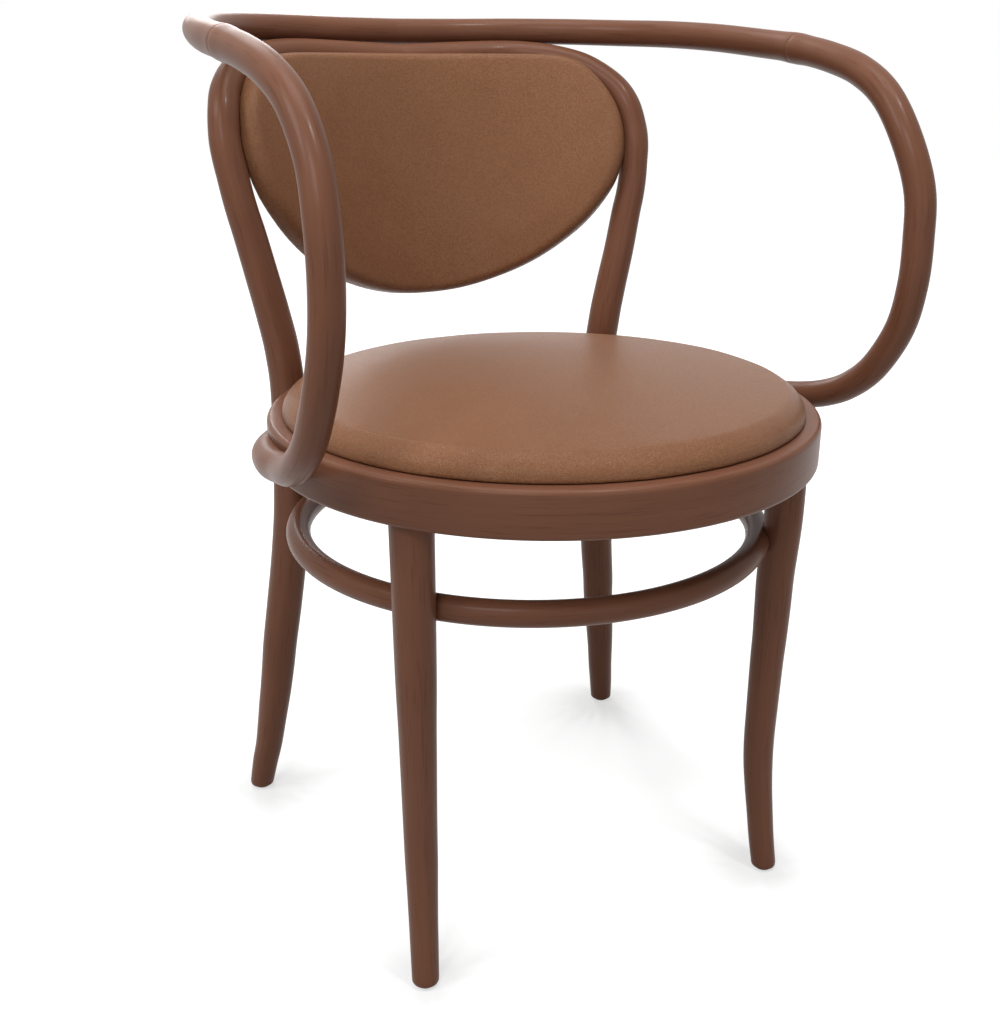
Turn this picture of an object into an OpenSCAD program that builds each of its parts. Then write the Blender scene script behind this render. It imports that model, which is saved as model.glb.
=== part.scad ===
// Bentwood armchair: one rod bent into the arms and the top rail, a second rod bent into the
// back hoop and both rear legs, a round seat ring on two front legs, and a stretcher ring.
// Frame: origin on the floor under the middle of the chair, +Z up, the sitter faces -Y.

/* [Seat] */
// Outer diameter of the seat ring
seat_d = 460; // [440:1:480]
// Height of the top face of the seat ring
seat_h = 440; // [425:1:460]
// Height of the seat ring's section
ring_h = 37; // [34:1:42]
// Width of the seat ring's section
ring_w = 46; // [44:1:50]
// Rounding of the seat ring's edges
ring_round = 2.5; // [1:0.5:4]
// Ledge of bare ring left round the cushion
ledge_w = 12; // [8:1:15]
// Thickness of the plywood seat board
seat_board_t = 8; // [6:1:9]
// Height of the cushion's shoulder above the ring
cushion_h = 20; // [19:1:24]
// Rise of the cushion's crown above its shoulder
cushion_crown = 10; // [6:1:13]
// Rounding of the cushion's shoulder
cushion_round = 18; // [14:1:18]
// Thickness of the leather
leather_t = 1.6; // [1.2:0.1:2]
// Width of the leather turned in under the seat board
turn_in = 26; // [20:1:30]

/* [Arm hoop] */
// Diameter of the rod that makes the arms and the top rail
arm_d = 24; // [22:0.5:26]
// Width across the arms, centre to centre
arm_span = 497; // [485:1:505]
// Rise of the top rail's centre above the seat ring
rail_rise = 301; // [290:1:315]
// How far the rail's centre lies behind the seat's centre
rail_back = 311; // [305:1:316]
// How far the arms reach forward of the seat's centre
arm_reach = 164; // [155:1:172]
// Diameter of the dowels in the arm splices
dowel_d = 9; // [8:0.5:11]
// Length of the dowels in the arm splices
dowel_l = 34; // [26:1:40]

/* [Back hoop and rear legs] */
// Diameter of the back hoop at its top
hoop_d = 26; // [25:0.5:27]
// Gap from the pad's side to the hoop's centre line, seen from the front
hoop_gap = 16.5; // [15.5:0.5:18]
// How far the hoop's humps lie below the rail's centre
hoop_drop = 21; // [20:0.5:22]
// Depth of the dip between the humps
hoop_dip = 4; // [2:0.5:6]
// Largest diameter of a rear leg, by the stretcher
rear_leg_d = 34; // [32:0.4:36]
// Diameter of a rear foot
rear_foot_d = 23.6; // [21:0.4:27]
// How far a rear foot's centre stands outside the hoop's centre line at its widest
rear_foot_out = 2; // [0:0.5:4]
// Place of a rear foot behind the seat's centre
rear_foot_y = 222; // [210:1:235]
// Direction from the seat's centre to where a rear leg passes the ring
rear_leg_angle = 47.5; // [46:0.5:48]

/* [Front legs] */
// Diameter of a front leg at its shoulder
front_leg_d = 33.6; // [31:0.4:37]
// Diameter of a front foot
front_foot_d = 22.4; // [20:0.4:26]
// Sideways place of a front foot, from the middle
front_foot_x = 173; // [162:1:185]
// Place of a front foot before the seat's centre
front_foot_y = 127; // [117:1:140]
// Direction from the seat's centre to a front leg's shoulder, turned forward from sideways
front_leg_angle = 34.4; // [33:0.2:36]
// How far a front leg bows in at the calf
leg_bow = 12; // [8:0.5:15]
// Diameter of the tenon on a front leg
tenon_d = 22; // [20:0.5:24]
// Length of the tenon on a front leg
tenon_l = 26; // [22:0.5:29]

/* [Stretcher ring] */
// Diameter of the stretcher ring, centre to centre
stretch_d = 405; // [401:1:408]
// Diameter of the stretcher's rod
stretch_rod = 21; // [19:0.5:23]
// Drop of the stretcher ring's centre below the seat ring's underside
stretch_drop = 76; // [66:1:86]
// How far the stretcher's centre lies behind the seat's centre
stretch_back = 25.5; // [24:0.5:27]

/* [Back pad] */
// Greatest width of the back pad
pad_w = 377; // [370:1:380]
// Height of the back pad
pad_h = 223; // [217:1:229]
// Thickness of the back pad at its rim
pad_t = 22; // [20:0.5:24]
// Crown of the pad's front over its rim
pad_crown = 2.5; // [1:0.5:4]
// How far the pad's top stands below the rail's centre
pad_drop = 21; // [20:0.5:23]
// How far the pad is pressed on the hoop at its middle
pad_press = 3; // [2:0.5:3.5]
// How far the pad's sides come forward of its middle at the top
pad_bow_top = 62; // [59:1:65]
// How far the pad's sides come forward of its middle at the bottom
pad_bow_low = 116; // [111:1:121]
// How far the pad's bottom lies in front of its top, at the middle
pad_lean = 37; // [33:1:40]
// Thickness of the plywood inside the back pad
back_board_t = 8; // [7:0.5:9]
// Distance from the pad's rim to the edge of its plywood
board_inset = 5; // [4:0.5:8]

/* [Fasteners] */
// Shank diameter of the bolts that hold the rear legs
bolt_d = 6; // [5:0.5:7]
// Diameter of the washers under the bolts
washer_d = 15; // [13:0.5:17]
// Thickness of a washer
washer_t = 1.5; // [1:0.25:2]
// Outer diameter of the threaded inserts
insert_d = 10; // [9:0.5:12]
// Length of the threaded inserts
insert_l = 13; // [10:0.5:15]
// Shank diameter of the wood screws
screw_d = 4; // [3.5:0.25:4.5]
// How far a screw bites into the piece it holds
screw_bite = 10; // [8:0.5:12]
// Diameter of a foot glide
glide_d = 16; // [14:0.5:18]
// Height that a glide stands below the wood
glide_h = 2.5; // [2:0.25:3.5]
// Length of a glide's pin
pin_l = 14; // [10:0.5:18]

/* [Fits] */
// Clearance between neighbouring pieces
fit = 0.3; // [0.2:0.05:0.4]

/* [Hidden] */
$fn = 64;

// The chair's depth is centred on the origin: ring front to rail back
shift_y = (seat_d / 2 - rail_back - arm_d / 2) / 2;

// Rod sections and steps between waypoints
rod_sides = 16;
ring_r = seat_d / 2;
arm_r = arm_d / 2;
hoop_r = hoop_d / 2;
stretch_r = stretch_d / 2;
leg_r = rear_leg_d / 2;
rear_foot_r = rear_foot_d / 2;
front_r = front_leg_d / 2;
front_foot_r = front_foot_d / 2;
ring_mid_r = ring_r - ring_w / 2;
ring_mid_z = seat_h - ring_h / 2;
under_z = seat_h - ring_h;
rail_z = seat_h + rail_rise;
stretch_z = under_z - stretch_drop;

// Arm hoop, from the rail's middle to the foremost bend and down to the ring. Shares of half
// the span, of rail_back or arm_reach, and of the height from the ring's top to the rail.
arm_shares = [
  [0, 1, 0.998], [0.25, 0.986, 1], [0.478, 0.936, 1.002], [0.668, 0.843, 1],
  [0.81, 0.705, 0.994], [0.906, 0.537, 0.987], [0.963, 0.357, 0.974],
  [0.994, 0.181, 0.956], [0.999, 0.017, 0.939], [0.992, -0.249, 0.914],
  [0.982, -0.497, 0.877], [0.97, -0.706, 0.815], [0.964, -0.876, 0.709],
  [0.972, -0.977, 0.589], [0.974, -1, 0.468], [0.98, -0.988, 0.349],
  [0.989, -0.921, 0.227], [0.991, -0.776, 0.108], [0.991, -0.612, 0.035]];
// Arm's lower end along the ring: direction, then shares of the rod's width outside the
// ring's side and of the ring's height below its top
arm_end_angles = [-16.6, -10.1, -2.4, 5.9, 13, 19];
arm_end_shares = [[1.045, 0.07], [0.62, 0.29], [0.42, 0.44], [0.2, 0.53], [-0.02, 0.61], [-0.24, 0.67]];
splice_steps = 8;
arm_steps = 3;

// Back hoop above the ring: shares of half its span, of rail_back, of the height from the
// ring's top to the humps, of the dip, and of the hoop's thickness
hoop_shares = [
  [0, 0.95, 1, 1, 0.985], [0.244, 0.942, 1, 0.45, 0.985], [0.507, 0.919, 1, 0, 0.985],
  [0.659, 0.868, 0.994, 0, 0.99], [0.78, 0.812, 0.976, 0, 1], [0.871, 0.76, 0.948, 0, 1],
  [0.95, 0.692, 0.891, 0, 1.01], [0.985, 0.646, 0.83, 0, 1.02], [1, 0.618, 0.754, 0, 1.03],
  [0.998, 0.603, 0.7, 0, 1.04], [0.987, 0.594, 0.645, 0, 1.05], [0.974, 0.586, 0.584, 0, 1.06],
  [0.958, 0.581, 0.527, 0, 1.08]];
// The hoop's way down to the seat ring: shares of its way out from the ring to its side, then
// of rail_back, of the height to the humps, and of the hoop's thickness
descent_shares = [
  [0.666, 0.579, 0.466, 1.1], [0.464, 0.574, 0.341, 1.13], [0.253, 0.575, 0.212, 1.17],
  [0.089, 0.577, 0.09, 1.2]];
// Rear leg below the ring: shares of the height under the stretcher, of the way out to the
// foot sideways and backward, and of the leg's swelling over its foot
rear_shares = [
  [0.826, 0.108, 0.13, 1], [0.654, 0.262, 0.318, 1], [0.523, 0.41, 0.424, 0.93],
  [0.442, 0.482, 0.496, 0.85], [0.364, 0.564, 0.554, 0.74], [0.3, 0.641, 0.61, 0.61],
  [0.235, 0.713, 0.676, 0.46], [0.153, 0.803, 0.782, 0.31], [0.085, 0.905, 0.892, 0.19]];
hoop_steps = 2;

// Front leg: shares of its height below the shoulder, of its bow, and of its taper
front_shares = [
  [0.14, 0.08, 0.93], [0.267, 0.42, 0.88], [0.345, 0.52, 0.8], [0.419, 0.61, 0.68],
  [0.482, 0.73, 0.6], [0.61, 0.9, 0.48], [0.677, 0.98, 0.42], [0.739, 0.95, 0.37],
  [0.801, 0.79, 0.25], [0.866, 0.55, 0.15], [0.932, 0.29, 0.07]];
front_steps = 2;
// Direction of a front leg's bow, shares sideways and backward
bow_share = [-0.35, 0.94];

// Rounding of a foot's edge
foot_round = front_foot_d * 0.16;

// Back pad's outline, shares of half its width and of its height
pad_shares = [
  [0, 0], [0.261, 0.026], [0.525, 0.116], [0.746, 0.261], [0.895, 0.419], [0.971, 0.554],
  [1, 0.684], [0.982, 0.815], [0.894, 0.939], [0.76, 0.99], [0.441, 1], [0, 1]];
pad_steps = 2;
// Rings of the pad's faces between its middle and its rim
pad_ring_shares = [0.3, 0.6, 0.85];

// Rows of the pad's section
rim_round = pad_t * 0.3;

// Screw heads and their seats
head_d = screw_d * 2;
head_t = screw_d * 0.6;
bolt_head_d = bolt_d * 1.8;
bolt_head_t = bolt_d * 0.55;
sink = ring_h * 0.5;
arm_sink = ring_w * 0.45;

// Directions of the screws round the seat
board_screw_angles = [62, 118, 242, 298];
arm_screw_angles = [-2, 8];

function unit(v) = v / norm(v);
function xyz(p) = [p.x, p.y, p.z];
function mirrored(p) = [for (i = [0 : len(p) - 1]) i == 0 ? -p[0] : p[i]];
function both_sides(half) = concat(
  [for (i = [len(half) - 1 : -1 : 1]) mirrored(half[i])], half);
function spline(a, b, c, d, t) = (2 * b + (c - a) * t + (2 * a - 5 * b + 4 * c - d) * t * t
  + (3 * b - a - 3 * c + d) * t * t * t) / 2;
function smooth(p, steps) = concat([for (i = [0 : len(p) - 2], k = [0 : steps - 1])
  spline(p[max(i - 1, 0)], p[i], p[i + 1], p[min(i + 2, len(p) - 1)], k / steps)],
  [p[len(p) - 1]]);
function headings(p) = [for (i = [0 : len(p) - 1])
  unit(xyz(p[min(i + 1, len(p) - 1)]) - xyz(p[max(i - 1, 0)]))];
function part_of(list, from, to) = [for (i = [from : to]) list[i]];
function across(v, d) = unit(v - d * (v * d));
function polar(r, a, z) = [r * cos(a), r * sin(a), z];
function toward(a) = [cos(a), sin(a), 0];

// Arm hoop's centre line
arm_half = concat(
  [for (s = arm_shares) [s.x * arm_span / 2, s.y * (s.y < 0 ? arm_reach : rail_back),
    seat_h + s.z * (rail_z - seat_h), arm_r]],
  [for (i = [0 : len(arm_end_angles) - 1]) concat(polar(
    ring_r + arm_end_shares[i].x * arm_d, arm_end_angles[i],
    seat_h - arm_end_shares[i].y * ring_h), arm_r)]);
arm_path = smooth(both_sides(arm_half), arm_steps);
arm_dirs = headings(arm_path);
arm_mid = (len(arm_path) - 1) / 2;
splice_at = arm_mid + splice_steps * arm_steps;

// Back hoop's centre line, with both rear legs
hoop_span = pad_w + 2 * hoop_gap;
rear_foot_x = hoop_span / 2 + rear_foot_out;
hump_z = rail_z - hoop_drop;
pass_r = leg_r * 0.93;
pass_p = polar(ring_r + pass_r + fit, rear_leg_angle, ring_mid_z);
rear_out = unit([pass_p.x, pass_p.y - stretch_back, 0]);
brace_p = [0, stretch_back, stretch_z]
  + rear_out * (stretch_r + stretch_rod / 2 + leg_r + fit);
rear_foot = [rear_foot_x, rear_foot_y, glide_h];
hoop_half = concat(
  [for (s = hoop_shares) [s[0] * hoop_span / 2, s[1] * rail_back,
    seat_h + s[2] * (hump_z - seat_h) - s[3] * hoop_dip, s[4] * hoop_r]],
  [for (s = descent_shares) [pass_p.x + s[0] * (hoop_span / 2 - pass_p.x), s[1] * rail_back,
    seat_h + s[2] * (hump_z - seat_h), s[3] * hoop_r]],
  [concat(pass_p, pass_r), concat(brace_p, leg_r)],
  [for (s = rear_shares) [brace_p.x + s[1] * (rear_foot.x - brace_p.x),
    brace_p.y + s[2] * (rear_foot.y - brace_p.y),
    rear_foot.z + s[0] * (brace_p.z - rear_foot.z),
    rear_foot_r + s[3] * (leg_r - rear_foot_r)]],
  [concat(rear_foot + [0, 0, foot_round], rear_foot_r)]);
hoop_curve = smooth(both_sides(hoop_half), hoop_steps);
function foot_end(p, r) = [
  [p.x, p.y, p.z + foot_round * 0.35, r - foot_round * 0.24], [p.x, p.y, p.z, r - foot_round]];
function reversed(list) = [for (i = [len(list) - 1 : -1 : 0]) list[i]];
hoop_path = concat(
  [for (p = reversed(foot_end(rear_foot, rear_foot_r))) mirrored(p)],
  hoop_curve, foot_end(rear_foot, rear_foot_r));
hoop_n = len(hoop_path);
hoop_dirs = [for (i = [0 : hoop_n - 1]) i < 3 ? [0, 0, 1] : i > hoop_n - 4 ? [0, 0, -1]
  : headings(hoop_path)[i]];

// Front leg's centre line, on the sitter's left
shoulder = polar(ring_mid_r, -front_leg_angle, under_z - fit);
front_foot = [front_foot_x, -front_foot_y, glide_h];
front_way = front_foot - shoulder;
front_half = concat([concat(shoulder, front_r)],
  [for (s = front_shares) [shoulder.x + s.x * front_way.x + s.y * bow_share.x * leg_bow,
    shoulder.y + s.x * front_way.y + s.y * bow_share.y * leg_bow,
    shoulder.z + s.x * front_way.z, front_foot_r + s.z * (front_r - front_foot_r)]],
  [concat(front_foot + [0, 0, foot_round], front_foot_r)]);
front_path = concat(smooth(front_half, front_steps), foot_end(front_foot, front_foot_r));
front_n = len(front_path);
front_dirs = [for (i = [0 : front_n - 1]) i == 0 || i > front_n - 4 ? [0, 0, -1]
  : headings(front_path)[i]];
front_out = unit([shoulder.x, shoulder.y - stretch_back, 0]);

// Back pad's middle surface, its normal and its outline
pad_top = rail_z - pad_drop;
pad_low = pad_top - pad_h;
pad_back = 0.95 * rail_back - hoop_r - pad_t / 2 + pad_press;
pad_centre = pad_low + pad_h * 0.55;
function pad_rise(z) = (z - pad_low) / pad_h;
function pad_bow(z) = pad_bow_low + (pad_bow_top - pad_bow_low) * pad_rise(z);
function pad_y(x, z) = pad_back - pad_lean * (1 - pad_rise(z)) - pad_bow(z) * pow(2 * x / pad_w, 2);
function pad_slope_x(x, z) = -8 * pad_bow(z) * x / pow(pad_w, 2);
function pad_slope_z(x, z) = pad_lean / pad_h
  - (pad_bow_top - pad_bow_low) / pad_h * pow(2 * x / pad_w, 2);
function pad_point(x, z, off) = [x, pad_y(x, z), z]
  + off * unit([-pad_slope_x(x, z), 1, -pad_slope_z(x, z)]);
pad_half = [for (s = pad_shares) [s.x * pad_w / 2, pad_low + s.y * pad_h]];
pad_loop_half = smooth(
  concat([mirrored(pad_half[1])], pad_half, [mirrored(pad_half[len(pad_half) - 2])]), pad_steps);
pad_right = part_of(pad_loop_half, pad_steps, len(pad_loop_half) - 1 - pad_steps);
pad_rim = concat(pad_right, [for (i = [len(pad_right) - 2 : -1 : 1]) mirrored(pad_right[i])]);
function inward(p, share, inset) = [0, pad_centre]
  + (p - [0, pad_centre]) * share * (1 - inset / norm(p - [0, pad_centre]));

// A rod swept along waypoints, each with its own radius
module rod(path, dirs, grow = 0) {
  n = len(path);
  start = across(abs(dirs[0].z) > 0.9 ? [1, 0, 0] : [0, 0, 1], dirs[0]);
  sides = [for (i = 0, u = start; i < n; i = i + 1, u = across(u, dirs[min(i, n - 1)])) u];
  points = [for (i = [0 : n - 1], k = [0 : rod_sides - 1])
    xyz(path[i]) + (path[i][3] + grow) * (cos(360 * k / rod_sides) * sides[i]
      + sin(360 * k / rod_sides) * cross(dirs[i], sides[i]))];
  walls = [for (i = [0 : n - 2], k = [0 : rod_sides - 1], h = [0, 1])
    let(a = i * rod_sides + k, b = i * rod_sides + (k + 1) % rod_sides)
    h == 0 ? [a, a + rod_sides, b + rod_sides] : [a, b + rod_sides, b]];
  polyhedron(points, concat(walls,
    [[for (k = [0 : rod_sides - 1]) k]],
    [[for (k = [rod_sides - 1 : -1 : 0]) (n - 1) * rod_sides + k]]), convexity = 8);
}

// A form that follows the back pad, from rim rows of inset and offset, front pole first
module pad_form(rim_rows, front, back) {
  m = len(pad_rim);
  first = rim_rows[0];
  end = rim_rows[len(rim_rows) - 1];
  rows = concat(
    [for (s = pad_ring_shares) [s, first.x, front + (first.y - front) * s * s]],
    [for (r = rim_rows) [1, r.x, r.y]],
    [for (s = reversed(pad_ring_shares)) [s, end.x, back + (end.y - back) * s * s]]);
  n = len(rows);
  points = concat([pad_point(0, pad_centre, front)],
    [for (r = rows, p = pad_rim) let(q = inward(p, r.x, r.y)) pad_point(q.x, q.y, r.z)],
    [pad_point(0, pad_centre, back)]);
  last = 1 + n * m;
  polyhedron(points, concat(
    [for (k = [0 : m - 1]) [0, 1 + (k + 1) % m, 1 + k]],
    [for (i = [0 : n - 2], k = [0 : m - 1], h = [0, 1])
      let(a = 1 + i * m + k, b = 1 + i * m + (k + 1) % m)
      h == 0 ? [a, b, b + m] : [a, b + m, a + m]],
    [for (k = [0 : m - 1]) [last, last - m + k, last - m + (k + 1) % m]]), convexity = 4);
}

// Points +Z of the children along a direction
module along(p, dir) {
  translate(xyz(p))
    rotate([0, acos(dir.z), atan2(dir.y, dir.x)])
      children();
}

// A screw with its head at the start, and the bore it needs
module screw(p, dir, l) {
  along(p, dir) {
    cylinder(h = head_t, d = head_d);
    cylinder(h = l, d = screw_d);
  }
}
module screw_bore(p, dir, l) {
  along(p, dir) {
    translate([0, 0, -arm_d])
      cylinder(h = arm_d + head_t + fit, d = head_d + 2 * fit);
    cylinder(h = l + fit, d = screw_d + 2 * fit);
  }
}
module both() {
  children();
  mirror([1, 0, 0])
    children();
}

// Places of the screws, on the sitter's left
rail_p = arm_path[arm_mid + 2 * arm_steps];
hump_p = hoop_path[(hoop_n - 1) / 2 + 2 * hoop_steps];
hump_dir = unit(xyz(rail_p) - xyz(hump_p));
hump_start = xyz(hump_p) - hump_dir * (hoop_r - head_t);
pad_top_p = hoop_path[(hoop_n - 1) / 2 + hoop_steps];
pad_side_p = hoop_path[(hoop_n - 1) / 2 + 9 * hoop_steps];

// Bores through the arm hoop, back hoop, ring and stretcher
module splice_bores() {
  both()
    along(arm_path[splice_at], arm_dirs[splice_at])
      cylinder(h = dowel_l + 2 * fit, d = dowel_d + 2 * fit, center = true);
}
module arm_screw_places() {
  both()
    for (a = arm_screw_angles)
      translate(polar(ring_r - ring_w + arm_sink, a, ring_mid_z))
        rotate([0, 0, a])
          children();
}
arm_screw_l = ring_w - arm_sink + screw_bite;

module seat_ring() {
  color("sienna")
    translate([0, shift_y, 0])
      difference() {
        translate([0, 0, under_z])
          rotate_extrude(angle = 360, $fn = 96)
            polygon([
              [ring_r - ring_w + ring_round, 0], [ring_r - ring_round, 0],
              [ring_r, ring_round], [ring_r, ring_h - ring_round],
              [ring_r - ring_round, ring_h], [ring_r - ring_w + ring_round, ring_h],
              [ring_r - ring_w, ring_h - ring_round], [ring_r - ring_w, ring_round]]);
        both() {
          translate([shoulder.x, shoulder.y, under_z - ring_round])
            cylinder(h = ring_round + tenon_l + fit, d = tenon_d + 2 * fit);
          along(polar(ring_r - ring_w, rear_leg_angle, ring_mid_z),
            toward(rear_leg_angle)) {
            translate([0, 0, -ring_round])
              cylinder(h = ring_round + washer_t * 2, d = washer_d + 2 * fit);
            cylinder(h = 2 * ring_w, d = bolt_d + 2 * fit);
          }
        }
        arm_screw_places()
          rotate([0, 90, 0]) {
            translate([0, 0, -ring_w])
              cylinder(h = ring_w + head_t + fit, d = head_d + 2 * fit);
            cylinder(h = ring_w, d = screw_d + 2 * fit);
          }
        for (a = board_screw_angles)
          translate(polar(ring_mid_r, a, under_z)) {
            translate([0, 0, -ring_round])
              cylinder(h = ring_round + sink, d = head_d + 2 * fit);
            cylinder(h = 2 * ring_h, d = screw_d + 2 * fit);
          }
      }
}

cushion_r = ring_r - ledge_w;
arc_steps = 5;
// Section of the cushion at a depth below its surface, down to a height
function arc_end(skin, low) =
  acos(max(low - cushion_h + cushion_round, 0) / (cushion_round - skin));
function cushion_section(skin, low) = concat(
  [[0, low], [0, cushion_h + cushion_crown - skin]],
  [for (s = [0.3, 0.6, 0.85]) [s * (cushion_r - cushion_round),
    cushion_h + cushion_crown * (1 - s * s) - skin]],
  [for (i = [0 : arc_steps]) let(a = arc_end(skin, low) * i / arc_steps)
    [cushion_r - cushion_round + (cushion_round - skin) * sin(a),
    cushion_h - cushion_round + (cushion_round - skin) * cos(a)]],
  low < cushion_h - cushion_round ? [[cushion_r - skin, low]] : []);
board_low = leather_t + 2 * fit;
board_top = board_low + seat_board_t;
board_r = cushion_r - cushion_round + (cushion_round - leather_t - fit)
  * sin(arc_end(leather_t + fit, board_top));

module seat_board() {
  color("burlywood")
    translate([0, shift_y, seat_h + board_low])
      difference() {
        cylinder(h = seat_board_t, r = board_r, $fn = 96);
        for (a = board_screw_angles)
          translate(polar(ring_mid_r, a, -fit))
            cylinder(h = 2 * seat_board_t, d = screw_d + 2 * fit);
      }
}

module seat_foam() {
  color("khaki")
    translate([0, shift_y, seat_h])
      rotate_extrude(angle = 360, $fn = 96)
        polygon(cushion_section(leather_t + fit, board_top + fit));
}

module seat_cover() {
  color("peru")
    translate([0, shift_y, seat_h])
      difference() {
        rotate_extrude(angle = 360, $fn = 96)
          polygon(cushion_section(0, fit));
        rotate_extrude(angle = 360, $fn = 96)
          polygon(cushion_section(leather_t, fit + leather_t));
        cylinder(h = leather_t * 2, r = cushion_r - turn_in);
        for (a = board_screw_angles)
          translate(polar(ring_mid_r, a, -fit))
            cylinder(h = leather_t * 2, d = screw_d + 2 * fit);
      }
}

board_screw_l = ring_h - sink + board_top - fit;
module seat_board_screws() {
  color("silver")
    translate([0, shift_y, 0])
      for (a = board_screw_angles)
        screw(polar(ring_mid_r, a, under_z + sink - head_t), [0, 0, 1], board_screw_l + head_t);
}

module stretcher_shape(grow) {
  translate([0, stretch_back, stretch_z])
    rotate_extrude(angle = 360, $fn = 72)
      translate([stretch_r, 0])
        circle(r = stretch_rod / 2 + grow, $fn = 24);
}

brace_l = stretch_rod + screw_bite;
module brace_places() {
  both()
    for (dir = [front_out, rear_out])
      along([0, stretch_back, stretch_z] + dir * (stretch_r - stretch_rod / 2 + head_t / 2), dir)
        children();
}
module brace_bores() {
  brace_places() {
    translate([0, 0, -stretch_rod])
      cylinder(h = stretch_rod + head_t + fit, d = head_d + 2 * fit);
    cylinder(h = brace_l + fit, d = screw_d + 2 * fit);
  }
}

module glide_bore(p) {
  translate([p.x, p.y, 0])
    cylinder(h = glide_h + pin_l + fit, d = screw_d + 2 * fit);
}

module front_leg() {
  difference() {
    union() {
      rod(front_path, front_dirs);
      translate([shoulder.x, shoulder.y, shoulder.z - ring_round])
        cylinder(h = ring_round + tenon_l, d = tenon_d);
    }
    stretcher_shape(fit);
    brace_bores();
    glide_bore(front_foot);
  }
}
module front_leg_left() {
  color("sienna")
    translate([0, shift_y, 0])
      front_leg();
}
module front_leg_right() {
  color("sienna")
    translate([0, shift_y, 0])
      mirror([1, 0, 0])
        front_leg();
}

half_t = pad_t / 2;
board_front = half_t - leather_t - 2 * fit - back_board_t;
pad_screw_aim = pad_point(0.955 * pad_w / 2, pad_side_p.z, board_front + back_board_t / 2);
pad_screw_dir = unit(pad_screw_aim - xyz(pad_side_p));
pad_screw_l = hoop_d + 1.5 * screw_bite;
module pad_screw_places() {
  both() {
    along([pad_top_p.x, pad_top_p.y + hoop_r - head_t / 2, pad_top_p.z - hoop_r * 0.35], [0, -1, 0])
      children();
    along(xyz(pad_side_p) - pad_screw_dir * (hoop_r - head_t / 2), pad_screw_dir)
      children();
  }
}
module pad_screw_bores() {
  pad_screw_places() {
    translate([0, 0, -hoop_r])
      cylinder(h = hoop_r + head_t + fit, d = head_d + 2 * fit);
    cylinder(h = pad_screw_l + fit, d = screw_d + 2 * fit);
  }
}

module back_hoop() {
  color("sienna")
    translate([0, shift_y, 0])
      difference() {
        rod(hoop_path, hoop_dirs);
        rod(arm_path, arm_dirs, fit);
        stretcher_shape(fit);
        translate([0, 0, under_z])
          cylinder(h = ring_h, r = ring_r + fit, $fn = 96);
        both() {
          along(polar(ring_r, rear_leg_angle, ring_mid_z), toward(rear_leg_angle))
            cylinder(h = insert_l + 4 * fit, d = insert_d + 2 * fit);
          screw_bore(hump_start, hump_dir, 2 * hoop_d);
          glide_bore(rear_foot);
        }
        brace_bores();
        pad_screw_bores();
      }
}

module bolt_places() {
  both()
    along(polar(ring_r - ring_w, rear_leg_angle, ring_mid_z), toward(rear_leg_angle))
      translate([0, 0, washer_t])
        children();
}
module rear_leg_bolts() {
  color("silver")
    translate([0, shift_y, 0])
      bolt_places() {
        translate([0, 0, -bolt_head_t - fit])
          cylinder(h = bolt_head_t, d = bolt_head_d);
        translate([0, 0, -bolt_head_t / 2])
          cylinder(h = bolt_head_t / 2 + ring_w + insert_l - fit, d = bolt_d);
      }
}
module rear_leg_washers() {
  color("silver")
    translate([0, shift_y, 0])
      bolt_places()
        difference() {
          cylinder(h = washer_t - fit, d = washer_d);
          translate([0, 0, -fit])
            cylinder(h = washer_t + fit, d = bolt_d + 2 * fit);
        }
}
module rear_leg_inserts() {
  color("gold")
    translate([0, shift_y, 0])
      both()
        along(polar(ring_r + 2 * fit, rear_leg_angle, ring_mid_z), toward(rear_leg_angle))
          difference() {
            cylinder(h = insert_l, d = insert_d);
            translate([0, 0, -fit])
              cylinder(h = insert_l + 2 * fit, d = bolt_d + 2 * fit);
          }
}

module top_rail() {
  color("sienna")
    translate([0, shift_y, 0])
      difference() {
        rod(part_of(arm_path, 2 * arm_mid - splice_at, splice_at),
          part_of(arm_dirs, 2 * arm_mid - splice_at, splice_at));
        splice_bores();
        both()
          screw_bore(hump_start, hump_dir, hoop_d + screw_bite);
      }
}

module arm() {
  tail = len(arm_path) - 1;
  from = arm_path[splice_at] + concat(arm_dirs[splice_at] * fit, 0);
  difference() {
    rod(concat([from], part_of(arm_path, splice_at + 1, tail)),
      part_of(arm_dirs, splice_at, tail));
    translate([0, 0, under_z - ring_h])
      cylinder(h = 3 * ring_h, r = ring_r + fit, $fn = 96);
    splice_bores();
    arm_screw_places()
      rotate([0, 90, 0])
        cylinder(h = arm_screw_l + fit, d = screw_d + 2 * fit);
  }
}
module arm_left() {
  color("sienna")
    translate([0, shift_y, 0])
      arm();
}
module arm_right() {
  color("sienna")
    translate([0, shift_y, 0])
      mirror([1, 0, 0])
        arm();
}

module splice_dowels() {
  color("burlywood")
    translate([0, shift_y, 0])
      both()
        along(arm_path[splice_at], arm_dirs[splice_at])
          cylinder(h = dowel_l, d = dowel_d, center = true);
}

module arm_ring_screws() {
  color("silver")
    translate([0, shift_y, 0])
      arm_screw_places()
        rotate([0, 90, 0]) {
          cylinder(h = head_t, d = head_d);
          cylinder(h = arm_screw_l, d = screw_d);
        }
}

module rail_hoop_screws() {
  color("silver")
    translate([0, shift_y, 0])
      both()
        screw(hump_start, hump_dir, hoop_d + screw_bite - fit);
}

module stretcher_ring() {
  color("sienna")
    translate([0, shift_y, 0])
      difference() {
        stretcher_shape(0);
        brace_bores();
      }
}

module stretcher_screws() {
  color("silver")
    translate([0, shift_y, 0])
      brace_places() {
        cylinder(h = head_t, d = head_d);
        cylinder(h = brace_l, d = screw_d);
      }
}

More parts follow.
